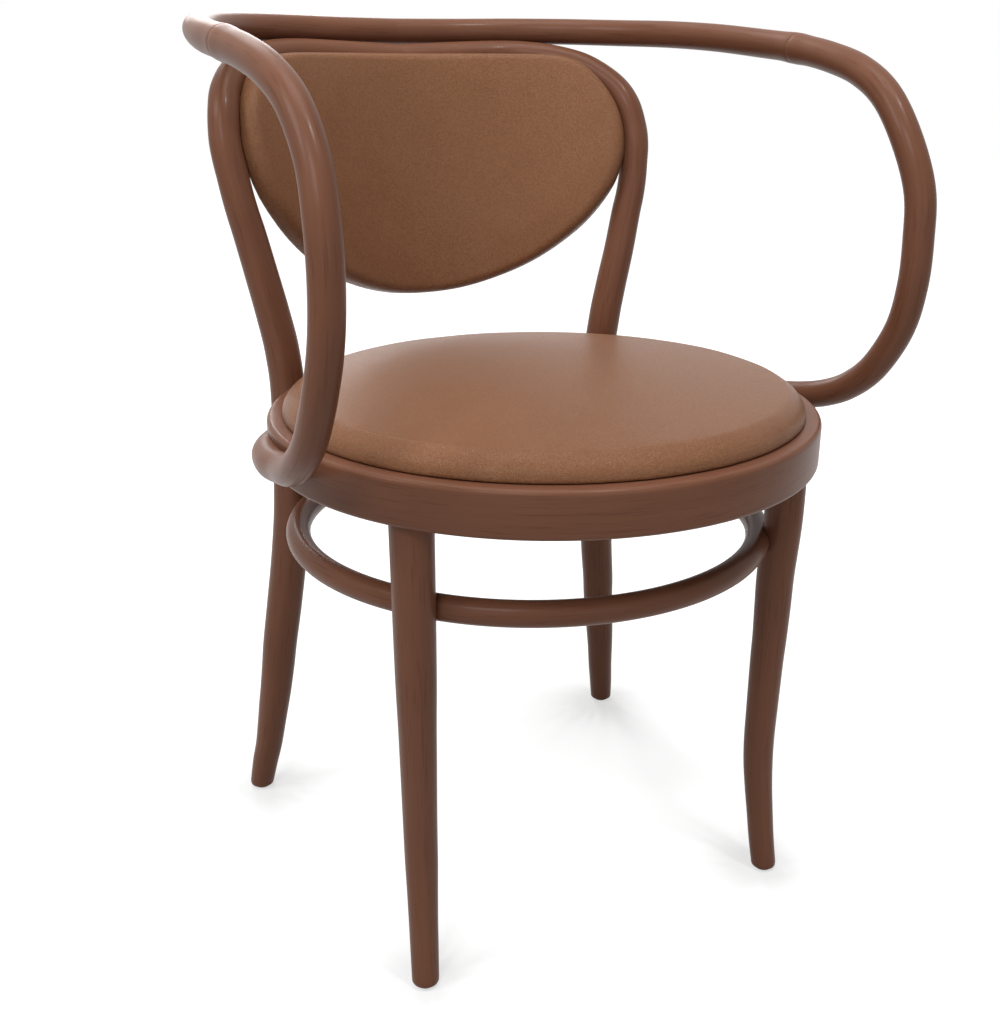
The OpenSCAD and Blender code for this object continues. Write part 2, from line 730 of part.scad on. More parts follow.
// Back pad: leather outside, foam in front of a bent plywood board
function pad_rows(skin) = [
  [pad_w * 0.04 + skin, skin - half_t - pad_crown * 0.2],
  [rim_round * 0.5 + skin, skin - half_t + rim_round * 0.12],
  [skin, skin - half_t + rim_round],
  [skin, half_t - rim_round * 0.7 - skin],
  [rim_round * 0.6 + skin, half_t - skin]];
module pad_shape(skin) {
  difference() {
    pad_form(pad_rows(skin), skin - half_t - pad_crown, half_t - skin);
    rod(hoop_path, hoop_dirs, fit + skin);
  }
}
module board_shape(grow) {
  difference() {
    pad_form([[board_inset - grow, board_front - grow],
      [board_inset - grow, board_front + back_board_t + grow]],
      board_front - grow, board_front + back_board_t + grow);
    rod(hoop_path, hoop_dirs, leather_t + 2 * fit - grow);
  }
}
module back_board() {
  color("burlywood")
    translate([0, shift_y, 0])
      difference() {
        board_shape(0);
        pad_screw_bores();
      }
}
module back_foam() {
  color("khaki")
    translate([0, shift_y, 0])
      difference() {
        pad_shape(leather_t + fit);
        pad_form([[board_inset - 2 * fit, board_front - fit],
          [board_inset - 2 * fit, pad_t]], board_front - fit, pad_t);
        pad_screw_bores();
      }
}
module back_cover() {
  color("peru")
    translate([0, shift_y, 0])
      difference() {
        pad_shape(0);
        pad_shape(leather_t);
        pad_screw_bores();
      }
}
module back_pad_screws() {
  color("silver")
    translate([0, shift_y, 0])
      pad_screw_places() {
        cylinder(h = head_t, d = head_d);
        cylinder(h = pad_screw_l, d = screw_d);
      }
}

module foot_glides() {
  color("dimgray")
    translate([0, shift_y, 0])
      both()
        for (p = [front_foot, rear_foot])
          translate([p.x, p.y, 0]) {
            cylinder(h = glide_h - fit, d = glide_d);
            cylinder(h = glide_h + pin_l, d = screw_d);
          }
}

seat_ring();
seat_board();
seat_foam();
seat_cover();
seat_board_screws();
front_leg_left();
front_leg_right();
back_hoop();
rear_leg_bolts();
rear_leg_washers();
rear_leg_inserts();
top_rail();
arm_left();
arm_right();
splice_dowels();
arm_ring_screws();
rail_hoop_screws();
stretcher_ring();
stretcher_screws();
back_board();
back_foam();
back_cover();
back_pad_screws();
foot_glides();
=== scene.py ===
import math
import bmesh
import bpy
from mathutils import Matrix, Vector
from mathutils.bvhtree import BVHTree
from mathutils.kdtree import KDTree


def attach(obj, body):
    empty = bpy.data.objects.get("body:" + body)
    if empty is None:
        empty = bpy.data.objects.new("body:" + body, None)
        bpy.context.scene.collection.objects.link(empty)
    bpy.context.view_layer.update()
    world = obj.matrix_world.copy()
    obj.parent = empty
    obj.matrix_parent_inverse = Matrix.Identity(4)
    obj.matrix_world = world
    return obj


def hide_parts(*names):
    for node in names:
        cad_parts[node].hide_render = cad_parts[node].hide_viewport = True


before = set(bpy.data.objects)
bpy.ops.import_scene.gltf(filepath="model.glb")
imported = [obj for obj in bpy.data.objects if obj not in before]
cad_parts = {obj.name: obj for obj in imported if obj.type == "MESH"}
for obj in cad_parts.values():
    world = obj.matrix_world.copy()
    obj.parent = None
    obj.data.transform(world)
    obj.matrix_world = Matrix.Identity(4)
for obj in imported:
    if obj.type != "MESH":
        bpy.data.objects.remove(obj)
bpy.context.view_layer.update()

scene = bpy.context.scene
print("frame loaded")

# camera, at the place and angle the photograph was taken from
cameraValues = {
    "place": (-0.48400, -0.92241, 0.70567),
    "tilt": 70.081,
    "turn": -26.870,
    "lens": 43.82,
}
cameraData = bpy.data.cameras.new("chairCamera")
cameraData.sensor_fit = "HORIZONTAL"
cameraData.sensor_width = 36.0
cameraData.lens = cameraValues["lens"]
chairCamera = bpy.data.objects.new("chairCamera", cameraData)
chairCamera.location = cameraValues["place"]
chairCamera.rotation_euler = (math.radians(cameraValues["tilt"]), 0.0, math.radians(cameraValues["turn"]))
scene.collection.objects.link(chairCamera)
scene.camera = chairCamera
scene.view_settings.view_transform = "Standard"
print("camera set")


# small helpers for node trees
def addNode(tree, kind, x, y, **settings):
    node = tree.nodes.new(kind)
    node.location = (x, y)
    for name, value in settings.items():
        setattr(node, name, value)
    return node


def join(tree, start, end):
    tree.links.new(start, end)


def newMaterial(name):
    material = bpy.data.materials.new(name)
    material.use_nodes = True
    material.node_tree.nodes.clear()
    tree = material.node_tree
    out = addNode(tree, "ShaderNodeOutputMaterial", 1300, 0)
    shader = addNode(tree, "ShaderNodeBsdfPrincipled", 1000, 0)
    join(tree, shader.outputs["BSDF"], out.inputs["Surface"])
    return material, tree, shader


white = (1.0, 1.0, 1.0)


# a colour ramp over a pattern
def rampNode(tree, x, y, pattern, stops):
    ramp = addNode(tree, "ShaderNodeValToRGB", x, y)
    band = ramp.color_ramp
    while len(band.elements) < len(stops):
        band.elements.new(0.5)
    for element, (place, colour) in zip(band.elements, stops):
        element.position = place
        element.color = (*colour, 1.0)
    join(tree, pattern, ramp.inputs["Fac"])
    return ramp.outputs["Color"]


# a noise pattern over a place, with the values of its own sockets
def noiseNode(tree, x, y, place, **values):
    noise = addNode(tree, "ShaderNodeTexNoise", x, y)
    for name, value in values.items():
        noise.inputs[name].default_value = value
    join(tree, place, noise.inputs["Vector"])
    return noise.outputs["Fac"]


# roughness between two values, following a pattern
def followGloss(tree, x, y, pattern, low, high, shader):
    gloss = addNode(tree, "ShaderNodeMapRange", x, y)
    gloss.inputs["To Min"].default_value = low
    gloss.inputs["To Max"].default_value = high
    join(tree, pattern, gloss.inputs["Value"])
    join(tree, gloss.outputs["Result"], shader.inputs["Roughness"])


def bumpNode(tree, x, y, height, strength, distance):
    bump = addNode(tree, "ShaderNodeBump", x, y)
    bump.inputs["Strength"].default_value = strength
    bump.inputs["Distance"].default_value = distance
    join(tree, height, bump.inputs["Height"])
    return bump


def blendColours(tree, x, y, kind, share, first, second):
    mix = addNode(tree, "ShaderNodeMix", x, y, data_type="RGBA", blend_type=kind)
    mix.inputs[0].default_value = share
    join(tree, first, mix.inputs[6])
    join(tree, second, mix.inputs[7])
    return mix.outputs[2]


# stained beech under satin lacquer; the grain follows each rod through its own attribute
woodLook = {
    "dark": (0.156, 0.064, 0.036),
    "middle": (0.173, 0.072, 0.041),
    "light": (0.195, 0.082, 0.047),
    "fleck": (0.118, 0.043, 0.022),
    "figure": 55.0,
    "fleckSize": 620.0,
    "clouds": 9.0,
    "wash": (0.86, 0.84, 0.82),
    "stretch": 0.045,  # of the pattern along the grain
    "rough": (0.34, 0.44),
    "pores": (0.10, 0.0003),  # strength and depth of the bump
    "specular": 0.09,
    "lacquer": 0.06,
    "lacquerRough": 0.17,
}


def makeWood(name, look, onRods=True):
    material, tree, shader = newMaterial(name)
    if onRods:
        start = addNode(tree, "ShaderNodeAttribute", -1300, 0, attribute_name="grain")
        place = start.outputs["Vector"]
    else:
        start = addNode(tree, "ShaderNodeTexCoord", -1300, 0)
        place = start.outputs["Object"]
    squeeze = addNode(tree, "ShaderNodeMapping", -1100, 200)
    squeeze.inputs["Scale"].default_value = (1.0, 1.0, look["stretch"])
    join(tree, place, squeeze.inputs["Vector"])
    long = squeeze.outputs["Vector"]
    figure = noiseNode(
        tree, -850, 300, long, Scale=look["figure"], Detail=5.0, Roughness=0.55, Distortion=0.35)
    tones = rampNode(tree, -600, 300, figure, [
        (0.30, look["dark"]), (0.50, look["middle"]), (0.72, look["light"])])
    flecks = noiseNode(tree, -850, 0, long, Scale=look["fleckSize"], Detail=2.0)
    fleckMask = rampNode(tree, -600, 0, flecks, [
        (0.56, (0.0, 0.0, 0.0)), (0.70, (0.55, 0.55, 0.55))])
    stain = addNode(tree, "ShaderNodeMix", -300, 200, data_type="RGBA")
    join(tree, fleckMask, stain.inputs[0])
    join(tree, tones, stain.inputs[6])
    stain.inputs[7].default_value = (*look["fleck"], 1.0)
    clouds = noiseNode(tree, -850, -250, place, Scale=look["clouds"], Detail=2.0)
    wash = rampNode(tree, -600, -250, clouds, [(0.30, look["wash"]), (0.70, white)])
    colour = blendColours(tree, 0, 200, "MULTIPLY", 1.0, stain.outputs[2], wash)
    join(tree, colour, shader.inputs["Base Color"])
    followGloss(tree, 0, -150, figure, *look["rough"], shader)
    bump = bumpNode(tree, 300, -300, flecks, *look["pores"])
    join(tree, bump.outputs["Normal"], shader.inputs["Normal"])
    shader.inputs["Specular IOR Level"].default_value = look["specular"]
    shader.inputs["Coat Weight"].default_value = look["lacquer"]
    shader.inputs["Coat Roughness"].default_value = look["lacquerRough"]
    return material


# fine-grained brown leather
leatherLook = {
    "dark": (0.251, 0.111, 0.053),
    "middle": (0.263, 0.118, 0.057),
    "light": (0.275, 0.126, 0.062),
    "grain": 800.0,
    "pores": 520.0,
    "patches": 26.0,
    "wobble": (420.0, 0.0012),  # scale and reach
    "creaseShade": (0.72, 0.68, 0.64),
    "poreShade": (0.86, 0.84, 0.81),
    "waves": 130.0,
    "rough": (0.31, 0.39),
    "waveBump": (0.12, 0.0008),  # strength and depth
    "grainBump": (0.55, 0.0004),
    "specular": 0.08,
    "finish": 0.10,
    "finishRough": 0.15,
    "sheen": 0.015,
    "sheenRough": 0.4,
    "sheenTint": (1.0, 0.86, 0.76),
}


def makeLeather(name, look):
    material, tree, shader = newMaterial(name)
    start = addNode(tree, "ShaderNodeTexCoord", -1300, 0)
    place = start.outputs["Object"]
    size, amount = look["wobble"]
    wobble = addNode(tree, "ShaderNodeTexNoise", -1100, -350)
    wobble.inputs["Scale"].default_value = size
    wobble.inputs["Detail"].default_value = 2.0
    join(tree, place, wobble.inputs["Vector"])
    shift = addNode(tree, "ShaderNodeVectorMath", -900, -350, operation="MULTIPLY_ADD")
    shift.inputs[1].default_value = (amount, amount, amount)
    join(tree, wobble.outputs["Color"], shift.inputs[0])
    join(tree, place, shift.inputs[2])
    cells = addNode(tree, "ShaderNodeTexVoronoi", -650, -350, feature="DISTANCE_TO_EDGE")
    cells.inputs["Scale"].default_value = look["grain"]
    join(tree, shift.outputs["Vector"], cells.inputs["Vector"])
    creases = rampNode(tree, -400, -350, cells.outputs["Distance"], [
        (0.0, (0.0, 0.0, 0.0)), (0.16, (0.75, 0.75, 0.75)), (0.5, white)])
    patches = noiseNode(tree, -650, 250, place, Scale=look["patches"], Detail=6.0, Roughness=0.6)
    tones = rampNode(tree, -400, 250, patches, [
        (0.28, look["dark"]), (0.50, look["middle"]), (0.74, look["light"])])
    shade = rampNode(tree, -100, -150, creases, [(0.0, look["creaseShade"]), (1.0, white)])
    pores = noiseNode(tree, -650, 550, place, Scale=look["pores"], Detail=1.0)
    speckle = rampNode(tree, -400, 550, pores, [(0.36, look["poreShade"]), (0.60, white)])
    grained = blendColours(tree, 100, 300, "MULTIPLY", 0.8, tones, shade)
    colour = blendColours(tree, 300, 300, "MULTIPLY", 1.0, grained, speckle)
    join(tree, colour, shader.inputs["Base Color"])
    followGloss(tree, 200, -50, patches, *look["rough"], shader)
    soft = noiseNode(tree, -650, -650, place, Scale=look["waves"], Detail=3.0)
    wave = bumpNode(tree, 200, -550, soft, *look["waveBump"])
    bump = bumpNode(tree, 500, -400, creases, *look["grainBump"])
    join(tree, wave.outputs["Normal"], bump.inputs["Normal"])
    join(tree, bump.outputs["Normal"], shader.inputs["Normal"])
    join(tree, bump.outputs["Normal"], shader.inputs["Coat Normal"])
    shader.inputs["Specular IOR Level"].default_value = look["specular"]
    shader.inputs["Coat Weight"].default_value = look["finish"]
    shader.inputs["Coat Roughness"].default_value = look["finishRough"]
    shader.inputs["Sheen Weight"].default_value = look["sheen"]
    shader.inputs["Sheen Roughness"].default_value = look["sheenRough"]
    shader.inputs["Sheen Tint"].default_value = (*look["sheenTint"], 1.0)
    return material


# darkest and lightest tone, middle roughness
metalLook = {
    "zinc": ((0.50, 0.50, 0.47), (0.66, 0.66, 0.62), 0.32),
    "brass": ((0.55, 0.38, 0.15), (0.72, 0.54, 0.26), 0.36),
}


def makeMetal(name, low, high, rough):
    material, tree, shader = newMaterial(name)
    start = addNode(tree, "ShaderNodeTexCoord", -900, 0)
    bloom = noiseNode(tree, -650, 0, start.outputs["Object"], Scale=380.0, Detail=4.0)
    tones = rampNode(tree, -400, 100, bloom, [(0.3, low), (0.7, high)])
    join(tree, tones, shader.inputs["Base Color"])
    followGloss(tree, -400, -150, bloom, rough - 0.06, rough + 0.08, shader)
    shader.inputs["Metallic"].default_value = 1.0
    return material


glideLook = {
    "dark": (0.020, 0.014, 0.011),
    "light": (0.045, 0.034, 0.028),
    "scuffs": 500.0,
    "scuffBump": (0.15, 0.0002),
    "rough": 0.5,
}


def makeGlide(name, look):
    material, tree, shader = newMaterial(name)
    start = addNode(tree, "ShaderNodeTexCoord", -900, 0)
    scuff = noiseNode(tree, -650, 0, start.outputs["Object"], Scale=look["scuffs"], Detail=3.0)
    tones = rampNode(tree, -400, 100, scuff, [(0.3, look["dark"]), (0.75, look["light"])])
    join(tree, tones, shader.inputs["Base Color"])
    bump = bumpNode(tree, -100, -200, scuff, *look["scuffBump"])
    join(tree, bump.outputs["Normal"], shader.inputs["Normal"])
    shader.inputs["Roughness"].default_value = look["rough"]
    return material


stainedBeech = makeWood("stainedBeech", woodLook)
brownLeather = makeLeather("brownLeather", leatherLook)
zincPlate = makeMetal("zincPlate", *metalLook["zinc"])
turnedBrass = makeMetal("turnedBrass", *metalLook["brass"])
glidePlastic = makeGlide("glidePlastic", glideLook)
barePly = makeWood("barePly", {
    **woodLook,
    "dark": (0.36, 0.22, 0.12),
    "middle": (0.46, 0.30, 0.17),
    "light": (0.56, 0.38, 0.23),
    "fleck": (0.26, 0.15, 0.08),
    "figure": 40.0,
    "fleckSize": 500.0,
    "rough": (0.60, 0.72),
    "lacquer": 0.0,
}, onRods=False)
print("materials made")


# Geometry Nodes: one tree for every round bent rod
def newTree(name, inputs):
    tree = bpy.data.node_groups.new(name, "GeometryNodeTree")
    tree.interface.new_socket("Geometry", in_out="INPUT", socket_type="NodeSocketGeometry")
    for label, kind in inputs:
        tree.interface.new_socket(label, in_out="INPUT", socket_type=kind)
    tree.interface.new_socket("Geometry", in_out="OUTPUT", socket_type="NodeSocketGeometry")
    return tree


def closeTree(tree, shape, material, x):
    whole = addNode(tree, "GeometryNodeRealizeInstances", x, 0)
    join(tree, shape, whole.inputs["Geometry"])
    paint = addNode(tree, "GeometryNodeSetMaterial", x + 200, 0)
    join(tree, whole.outputs["Geometry"], paint.inputs["Geometry"])
    join(tree, material, paint.inputs["Material"])
    out = addNode(tree, "NodeGroupOutput", x + 400, 0)
    join(tree, paint.outputs["Geometry"], out.inputs["Geometry"])


def softenShading(tree, shape, x):
    smooth = addNode(tree, "GeometryNodeSetShadeSmooth", x, 0, domain="FACE")
    join(tree, shape, smooth.inputs["Geometry"])
    angle = addNode(tree, "GeometryNodeInputMeshEdgeAngle", x, -250)
    sharp = addNode(tree, "FunctionNodeCompare", x + 180, -250, data_type="FLOAT", operation="GREATER_THAN")
    join(tree, angle.outputs["Unsigned Angle"], sharp.inputs[0])
    sharp.inputs[1].default_value = math.radians(38)
    edges = addNode(tree, "GeometryNodeSetShadeSmooth", x + 380, 0, domain="EDGE")
    edges.inputs["Shade Smooth"].default_value = False
    join(tree, smooth.outputs["Geometry"], edges.inputs["Geometry"])
    join(tree, sharp.outputs["Result"], edges.inputs["Selection"])
    return edges.outputs["Geometry"]


def makeBentRod():
    tree = newTree("bentRod", [("Sides", "NodeSocketInt"), ("Finish", "NodeSocketMaterial")])
    start = addNode(tree, "NodeGroupInput", -1000, 0)
    route = addNode(tree, "GeometryNodeMeshToCurve", -800, 0)
    join(tree, start.outputs["Geometry"], route.inputs["Mesh"])
    thick = addNode(tree, "GeometryNodeInputNamedAttribute", -800, -250, data_type="FLOAT")
    thick.inputs["Name"].default_value = "thick"
    section = addNode(tree, "GeometryNodeCurvePrimitiveCircle", -600, -300)
    section.inputs["Radius"].default_value = 1.0
    join(tree, start.outputs["Sides"], section.inputs["Resolution"])
    sweep = addNode(tree, "GeometryNodeCurveToMesh", -350, 0)
    sweep.inputs["Fill Caps"].default_value = True
    join(tree, route.outputs["Curve"], sweep.inputs["Curve"])
    join(tree, thick.outputs["Attribute"], sweep.inputs["Scale"])
    join(tree, section.outputs["Curve"], sweep.inputs["Profile Curve"])
    closeTree(tree, softenShading(tree, sweep.outputs["Mesh"], -100), start.outputs["Finish"], 500)
    return tree


# the seat ring's tree: a rounded rectangle carried round a level circle
def makeBentRing():
    tree = newTree("bentRing", [
        ("Width", "NodeSocketFloat"), ("Height", "NodeSocketFloat"),
        ("Rounding", "NodeSocketFloat"), ("Finish", "NodeSocketMaterial")])
    start = addNode(tree, "NodeGroupInput", -1000, 0)
    route = addNode(tree, "GeometryNodeMeshToCurve", -800, 0)
    join(tree, start.outputs["Geometry"], route.inputs["Mesh"])
    upright = addNode(tree, "GeometryNodeSetCurveNormal", -600, 0, mode="Z_UP")
    join(tree, route.outputs["Curve"], upright.inputs["Curve"])
    section = addNode(tree, "GeometryNodeCurvePrimitiveQuadrilateral", -800, -300, mode="RECTANGLE")
    join(tree, start.outputs["Width"], section.inputs["Width"])
    join(tree, start.outputs["Height"], section.inputs["Height"])
    corners = addNode(tree, "GeometryNodeFilletCurve", -600, -300, mode="POLY")
    corners.inputs["Count"].default_value = 6
    join(tree, section.outputs["Curve"], corners.inputs["Curve"])
    join(tree, start.outputs["Rounding"], corners.inputs["Radius"])
    sweep = addNode(tree, "GeometryNodeCurveToMesh", -350, 0)
    join(tree, upright.outputs["Curve"], sweep.inputs["Curve"])
    join(tree, corners.outputs["Curve"], sweep.inputs["Profile Curve"])
    closeTree(tree, softenShading(tree, sweep.outputs["Mesh"], -100), start.outputs["Finish"], 500)
    return tree


# one shape repeated at every point of a mesh, its +Z turned along the point's 'aim'
def makeRepeatAlong():
    tree = newTree("repeatAlong", [("Pattern", "NodeSocketObject"), ("Finish", "NodeSocketMaterial")])
    start = addNode(tree, "NodeGroupInput", -1000, 0)
    info = addNode(tree, "GeometryNodeObjectInfo", -800, -250, transform_space="ORIGINAL")
    join(tree, start.outputs["Pattern"], info.inputs["Object"])
    aim = addNode(tree, "GeometryNodeInputNamedAttribute", -1000, -450, data_type="FLOAT_VECTOR")
    aim.inputs["Name"].default_value = "aim"
    turn = addNode(tree, "FunctionNodeAlignRotationToVector", -750, -450, axis="Z")
    join(tree, aim.outputs["Attribute"], turn.inputs["Vector"])
    put = addNode(tree, "GeometryNodeInstanceOnPoints", -500, 0)
    join(tree, start.outputs["Geometry"], put.inputs["Points"])
    join(tree, info.outputs["Geometry"], put.inputs["Instance"])
    join(tree, turn.outputs["Rotation"], put.inputs["Rotation"])
    closeTree(tree, put.outputs["Instances"], start.outputs["Finish"], -200)
    return tree


bentRod = makeBentRod()
bentRing = makeBentRing()
repeatAlong = makeRepeatAlong()


def setInputs(modifier, values):
    for item in modifier.node_group.interface.items_tree:
        if item.item_type == "SOCKET" and item.in_out == "INPUT" and item.name in values:
            modifier[item.identifier] = values[item.name]


def applyModifiers(piece):
    graph = bpy.context.evaluated_depsgraph_get()
    solid = bpy.data.meshes.new_from_object(piece.evaluated_get(graph), depsgraph=graph)
    piece.modifiers.clear()
    old = piece.data
    piece.data = solid
    bpy.data.meshes.remove(old)
    piece.data.name = piece.name
    return piece


def runTree(piece, tree, values):
    modifier = piece.modifiers.new(tree.name, "NODES")
    modifier.node_group = tree
    setInputs(modifier, values)
    return applyModifiers(piece)


def newPiece(name, points, edges=(), faces=()):
    mesh = bpy.data.meshes.new(name)
    mesh.from_pydata(points, edges, faces)
    mesh.update()
    piece = bpy.data.objects.new(name, mesh)
    scene.collection.objects.link(piece)
    return piece


# a smooth curve through waypoints of any number of values
def throughPoints(points, steps):
    made = []
    for i in range(len(points) - 1):
        a, b = points[max(i - 1, 0)], points[i]
        c, d = points[i + 1], points[min(i + 2, len(points) - 1)]
        for k in range(steps):
            t = k / steps
            made.append(tuple(
                0.5 * (2 * q + (r - p) * t + (2 * p - 5 * q + 4 * r - s) * t * t
                       + (3 * q - p - 3 * r + s) * t * t * t)
                for p, q, r, s in zip(a, b, c, d)))
    made.append(tuple(points[-1]))
    return made


def mirrored(points):
    return [(-p[0], *p[1:]) for p in points]


# writes where each point lies in the rod's own wood: across, across, along
def writeGrain(piece, path, closed=False):
    spots = [Vector(p[:3]) for p in path]
    count = len(spots)
    headings, sides, lengths = [], [], [0.0]
    for i in range(count):
        before = spots[i - 1] if i > 0 or closed else spots[i]
        after = spots[(i + 1) % count] if i < count - 1 or closed else spots[i]
        headings.append((after - before).normalized())
    side = headings[0].orthogonal().normalized()
    for i in range(count):
        side = (side - headings[i] * side.dot(headings[i])).normalized()
        sides.append(side.copy())
        if i:
            lengths.append(lengths[-1] + (spots[i] - spots[i - 1]).length)
    tree = KDTree(count)
    for i, spot in enumerate(spots):
        tree.insert(spot, i)
    tree.balance()
    values = []
    for vertex in piece.data.vertices:
        i = tree.find(vertex.co)[1]
        away = vertex.co - spots[i]
        over = headings[i].cross(sides[i])
        values.extend((away.dot(sides[i]), away.dot(over), lengths[i] + away.dot(headings[i])))
    layer = piece.data.attributes.new("grain", "FLOAT_VECTOR", "POINT")
    layer.data.foreach_set("vector", values)


# cuts the form that a function builds out of a piece
def cutForm(piece, build):
    cutter = bmesh.new()
    build(cutter)
    mesh = bpy.data.meshes.new("cutter")
    cutter.to_mesh(mesh)
    cutter.free()
    tool = bpy.data.objects.new("cutter", mesh)
    scene.collection.objects.link(tool)
    cut = piece.modifiers.new("cut", "BOOLEAN")
    cut.operation = "DIFFERENCE"
    cut.solver = "EXACT"
    cut.object = tool
    applyModifiers(piece)
    bpy.data.objects.remove(tool)
    return piece


# cuts round seats, such as those of screw heads, out of a piece
def cutSeats(piece, seats, sides=36):
    def build(cutter):
        for start, heading, radius, depth in seats:
            heading = Vector(heading).normalized()
            turn = heading.to_track_quat("Z", "Y").to_matrix().to_4x4()
            middle = Vector(start) + heading * depth / 2
            bmesh.ops.create_cone(
                cutter, cap_ends=True, segments=sides, radius1=radius, radius2=radius,
                depth=depth, matrix=Matrix.Translation(middle) @ turn)
    return cutForm(piece, build)


def makeRod(name, path, sides=40, closed=False, seats=()):
    edges = [(i, i + 1) for i in range(len(path) - 1)]
    if closed:
        edges.append((len(path) - 1, 0))
    piece = newPiece(name, [p[:3] for p in path], edges)
    layer = piece.data.attributes.new("thick", "FLOAT", "POINT")
    layer.data.foreach_set("value", [p[3] for p in path])
    runTree(piece, bentRod, {"Sides": sides, "Finish": stainedBeech})
    if seats:
        cutSeats(piece, seats)
    writeGrain(piece, path, closed)
    return piece


def dress(piece, slot, *nodes):
    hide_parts(*nodes)
    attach(piece, "root")
    print("made", piece.name)
    return piece


# sizes shared by the wooden pieces, in metres; the seat's axis stands at axisY
chairValues = {
    "axisY": -0.0465,
    "seatTop": 0.440,
    "ringRadius": 0.230,
    "ringWidth": 0.046,
    "ringHeight": 0.037,
    "ringRounding": 0.0042,
    "ringSides": 180,
    "stretcherRadius": 0.2025,
    "stretcherRod": 0.0105,
    "stretcherY": -0.0210,
    "stretcherZ": 0.327,
    "frontMeeting": (0.1708, -0.1640, 0.3270),
    "rearMeeting": (0.1680, 0.1366, 0.3270),
    "fit": 0.0003,
}
seatAxis = Vector((0.0, chairValues["axisY"], 0.0))
ringMiddleZ = chairValues["seatTop"] - chairValues["ringHeight"] / 2


def roundSeat(radius, degrees, z):
    a = math.radians(degrees)
    return seatAxis + Vector((radius * math.cos(a), radius * math.sin(a), z))


def outward(degrees):
    a = math.radians(degrees)
    return Vector((math.cos(a), math.sin(a), 0.0))


# screws: places and headings of every group, shared by the seats and the heads
screwValues = {
    "headRadius": 0.004,
    "headHeight": 0.0024,
    "shankRadius": 0.002,
    "boardAngles": (62, 118, 242, 298),
    "boardSink": 0.0185,
    "armAngles": (-2, 8, 182, 172),
    "armSink": 0.0207,
    "boltAngles": (47.5, 132.5),
    "seatDepth": 0.0027,
    "boardOver": 0.025,
    "armOver": 0.030,
    "rodOver": 0.010,
    "recess": (0.0042, 0.0010, 0.0026),
    "threadRoot": 0.74,
    "threadCrest": 0.98,
    "pitch": 0.0018,
    "point": 0.0003,
}
boltValues = {
    "headRadius": 0.0054,
    "headHeight": 0.0033,
    "shankRadius": 0.003,
    "plainLength": 0.040,
    "length": 0.0633,
    "washer": 0.0021,
    "socketRadius": 0.0023,
    "socketDepth": 0.0045,
    "seatRadius": 0.0078,
    "seatDepth": 0.003,
    "seatOver": 0.010,
    "threadRoot": 0.84,
    "pitch": 0.001,
    "endShare": 0.8,
}
headRadius = screwValues["headRadius"] + chairValues["fit"]
underZ = chairValues["seatTop"] - chairValues["ringHeight"]
ringInside = chairValues["ringRadius"] - chairValues["ringWidth"]
ringMiddle = chairValues["ringRadius"] - chairValues["ringWidth"] / 2


# the seat of a screw's or bolt's head, cut from outside the wood
def seatOf(spot, heading, over, radius=headRadius, depth=screwValues["seatDepth"]):
    return spot - heading * over, heading, radius, over + depth


# arm hoop: half of its route from the middle of the rail, then its thickness
armValues = {
    "route": [
        (0.0000, 0.2645, 0.7404, 0.0120), (0.0621, 0.2601, 0.7410, 0.0120),
        (0.1188, 0.2446, 0.7416, 0.0120), (0.1660, 0.2157, 0.7410, 0.0120),
        (0.2013, 0.1728, 0.7392, 0.0120), (0.2251, 0.1205, 0.7371, 0.0120),
        (0.2393, 0.0645, 0.7332, 0.0120), (0.2470, 0.0098, 0.7278, 0.0120),
        (0.2483, -0.0412, 0.7226, 0.0120), (0.2465, -0.0873, 0.7151, 0.0120),
        (0.2440, -0.1280, 0.7040, 0.0120), (0.2410, -0.1623, 0.6853, 0.0120),
        (0.2396, -0.1902, 0.6534, 0.0120), (0.2415, -0.2067, 0.6173, 0.0120),
        (0.2420, -0.2105, 0.5809, 0.0120), (0.2435, -0.2085, 0.5450, 0.0120),
        (0.2458, -0.1975, 0.5083, 0.0120), (0.2463, -0.1738, 0.4725, 0.0120),
        (0.2463, -0.1469, 0.4505, 0.0120), (0.2444, -0.1194, 0.4374, 0.0120),
        (0.2411, -0.0894, 0.4293, 0.0120), (0.2399, -0.0566, 0.4237, 0.0120),
        (0.2336, -0.0224, 0.4204, 0.0120), (0.2236, 0.0051, 0.4174, 0.0120),
        (0.2120, 0.0265, 0.4152, 0.0120),
    ],
    "spliceAt": 8,
    "steps": 10,
    "spliceSwell": 0.0007,
    "spliceLength": 0.020,
}
armPath = throughPoints(armValues["route"], armValues["steps"])
splice = armValues["spliceAt"] * armValues["steps"]


# the rod is a hair thicker where two lengths are glued end to end
def swell(path, centre, rise, reach):
    middle = Vector(centre[:3])
    made = []
    for p in path:
        share = max(0.0, 1.0 - ((Vector(p[:3]) - middle).length / reach) ** 2)
        made.append((*p[:3], p[3] + rise * share * share))
    return made


armPath = swell(armPath, armPath[splice], armValues["spliceSwell"], armValues["spliceLength"])
# a fine softened edge on each side of the joint
jointEdge = []
for i in (-1, 1):
    heading = (Vector(armPath[splice + i][:3]) - Vector(armPath[splice][:3])).normalized()
    rows = []
    for along, shrink in ((0.00010, 0.00022), (0.00022, 0.00008), (0.0005, 0.0)):
        spot = Vector(armPath[splice][:3]) + heading * along
        rows.append((*spot, armPath[splice][3] - shrink))
    jointEdge.append(rows)
railHalf = armPath[:splice] + jointEdge[0][::-1]
armTail = jointEdge[1] + armPath[splice + 1:]
railPath = mirrored(railHalf[:0:-1]) + railHalf

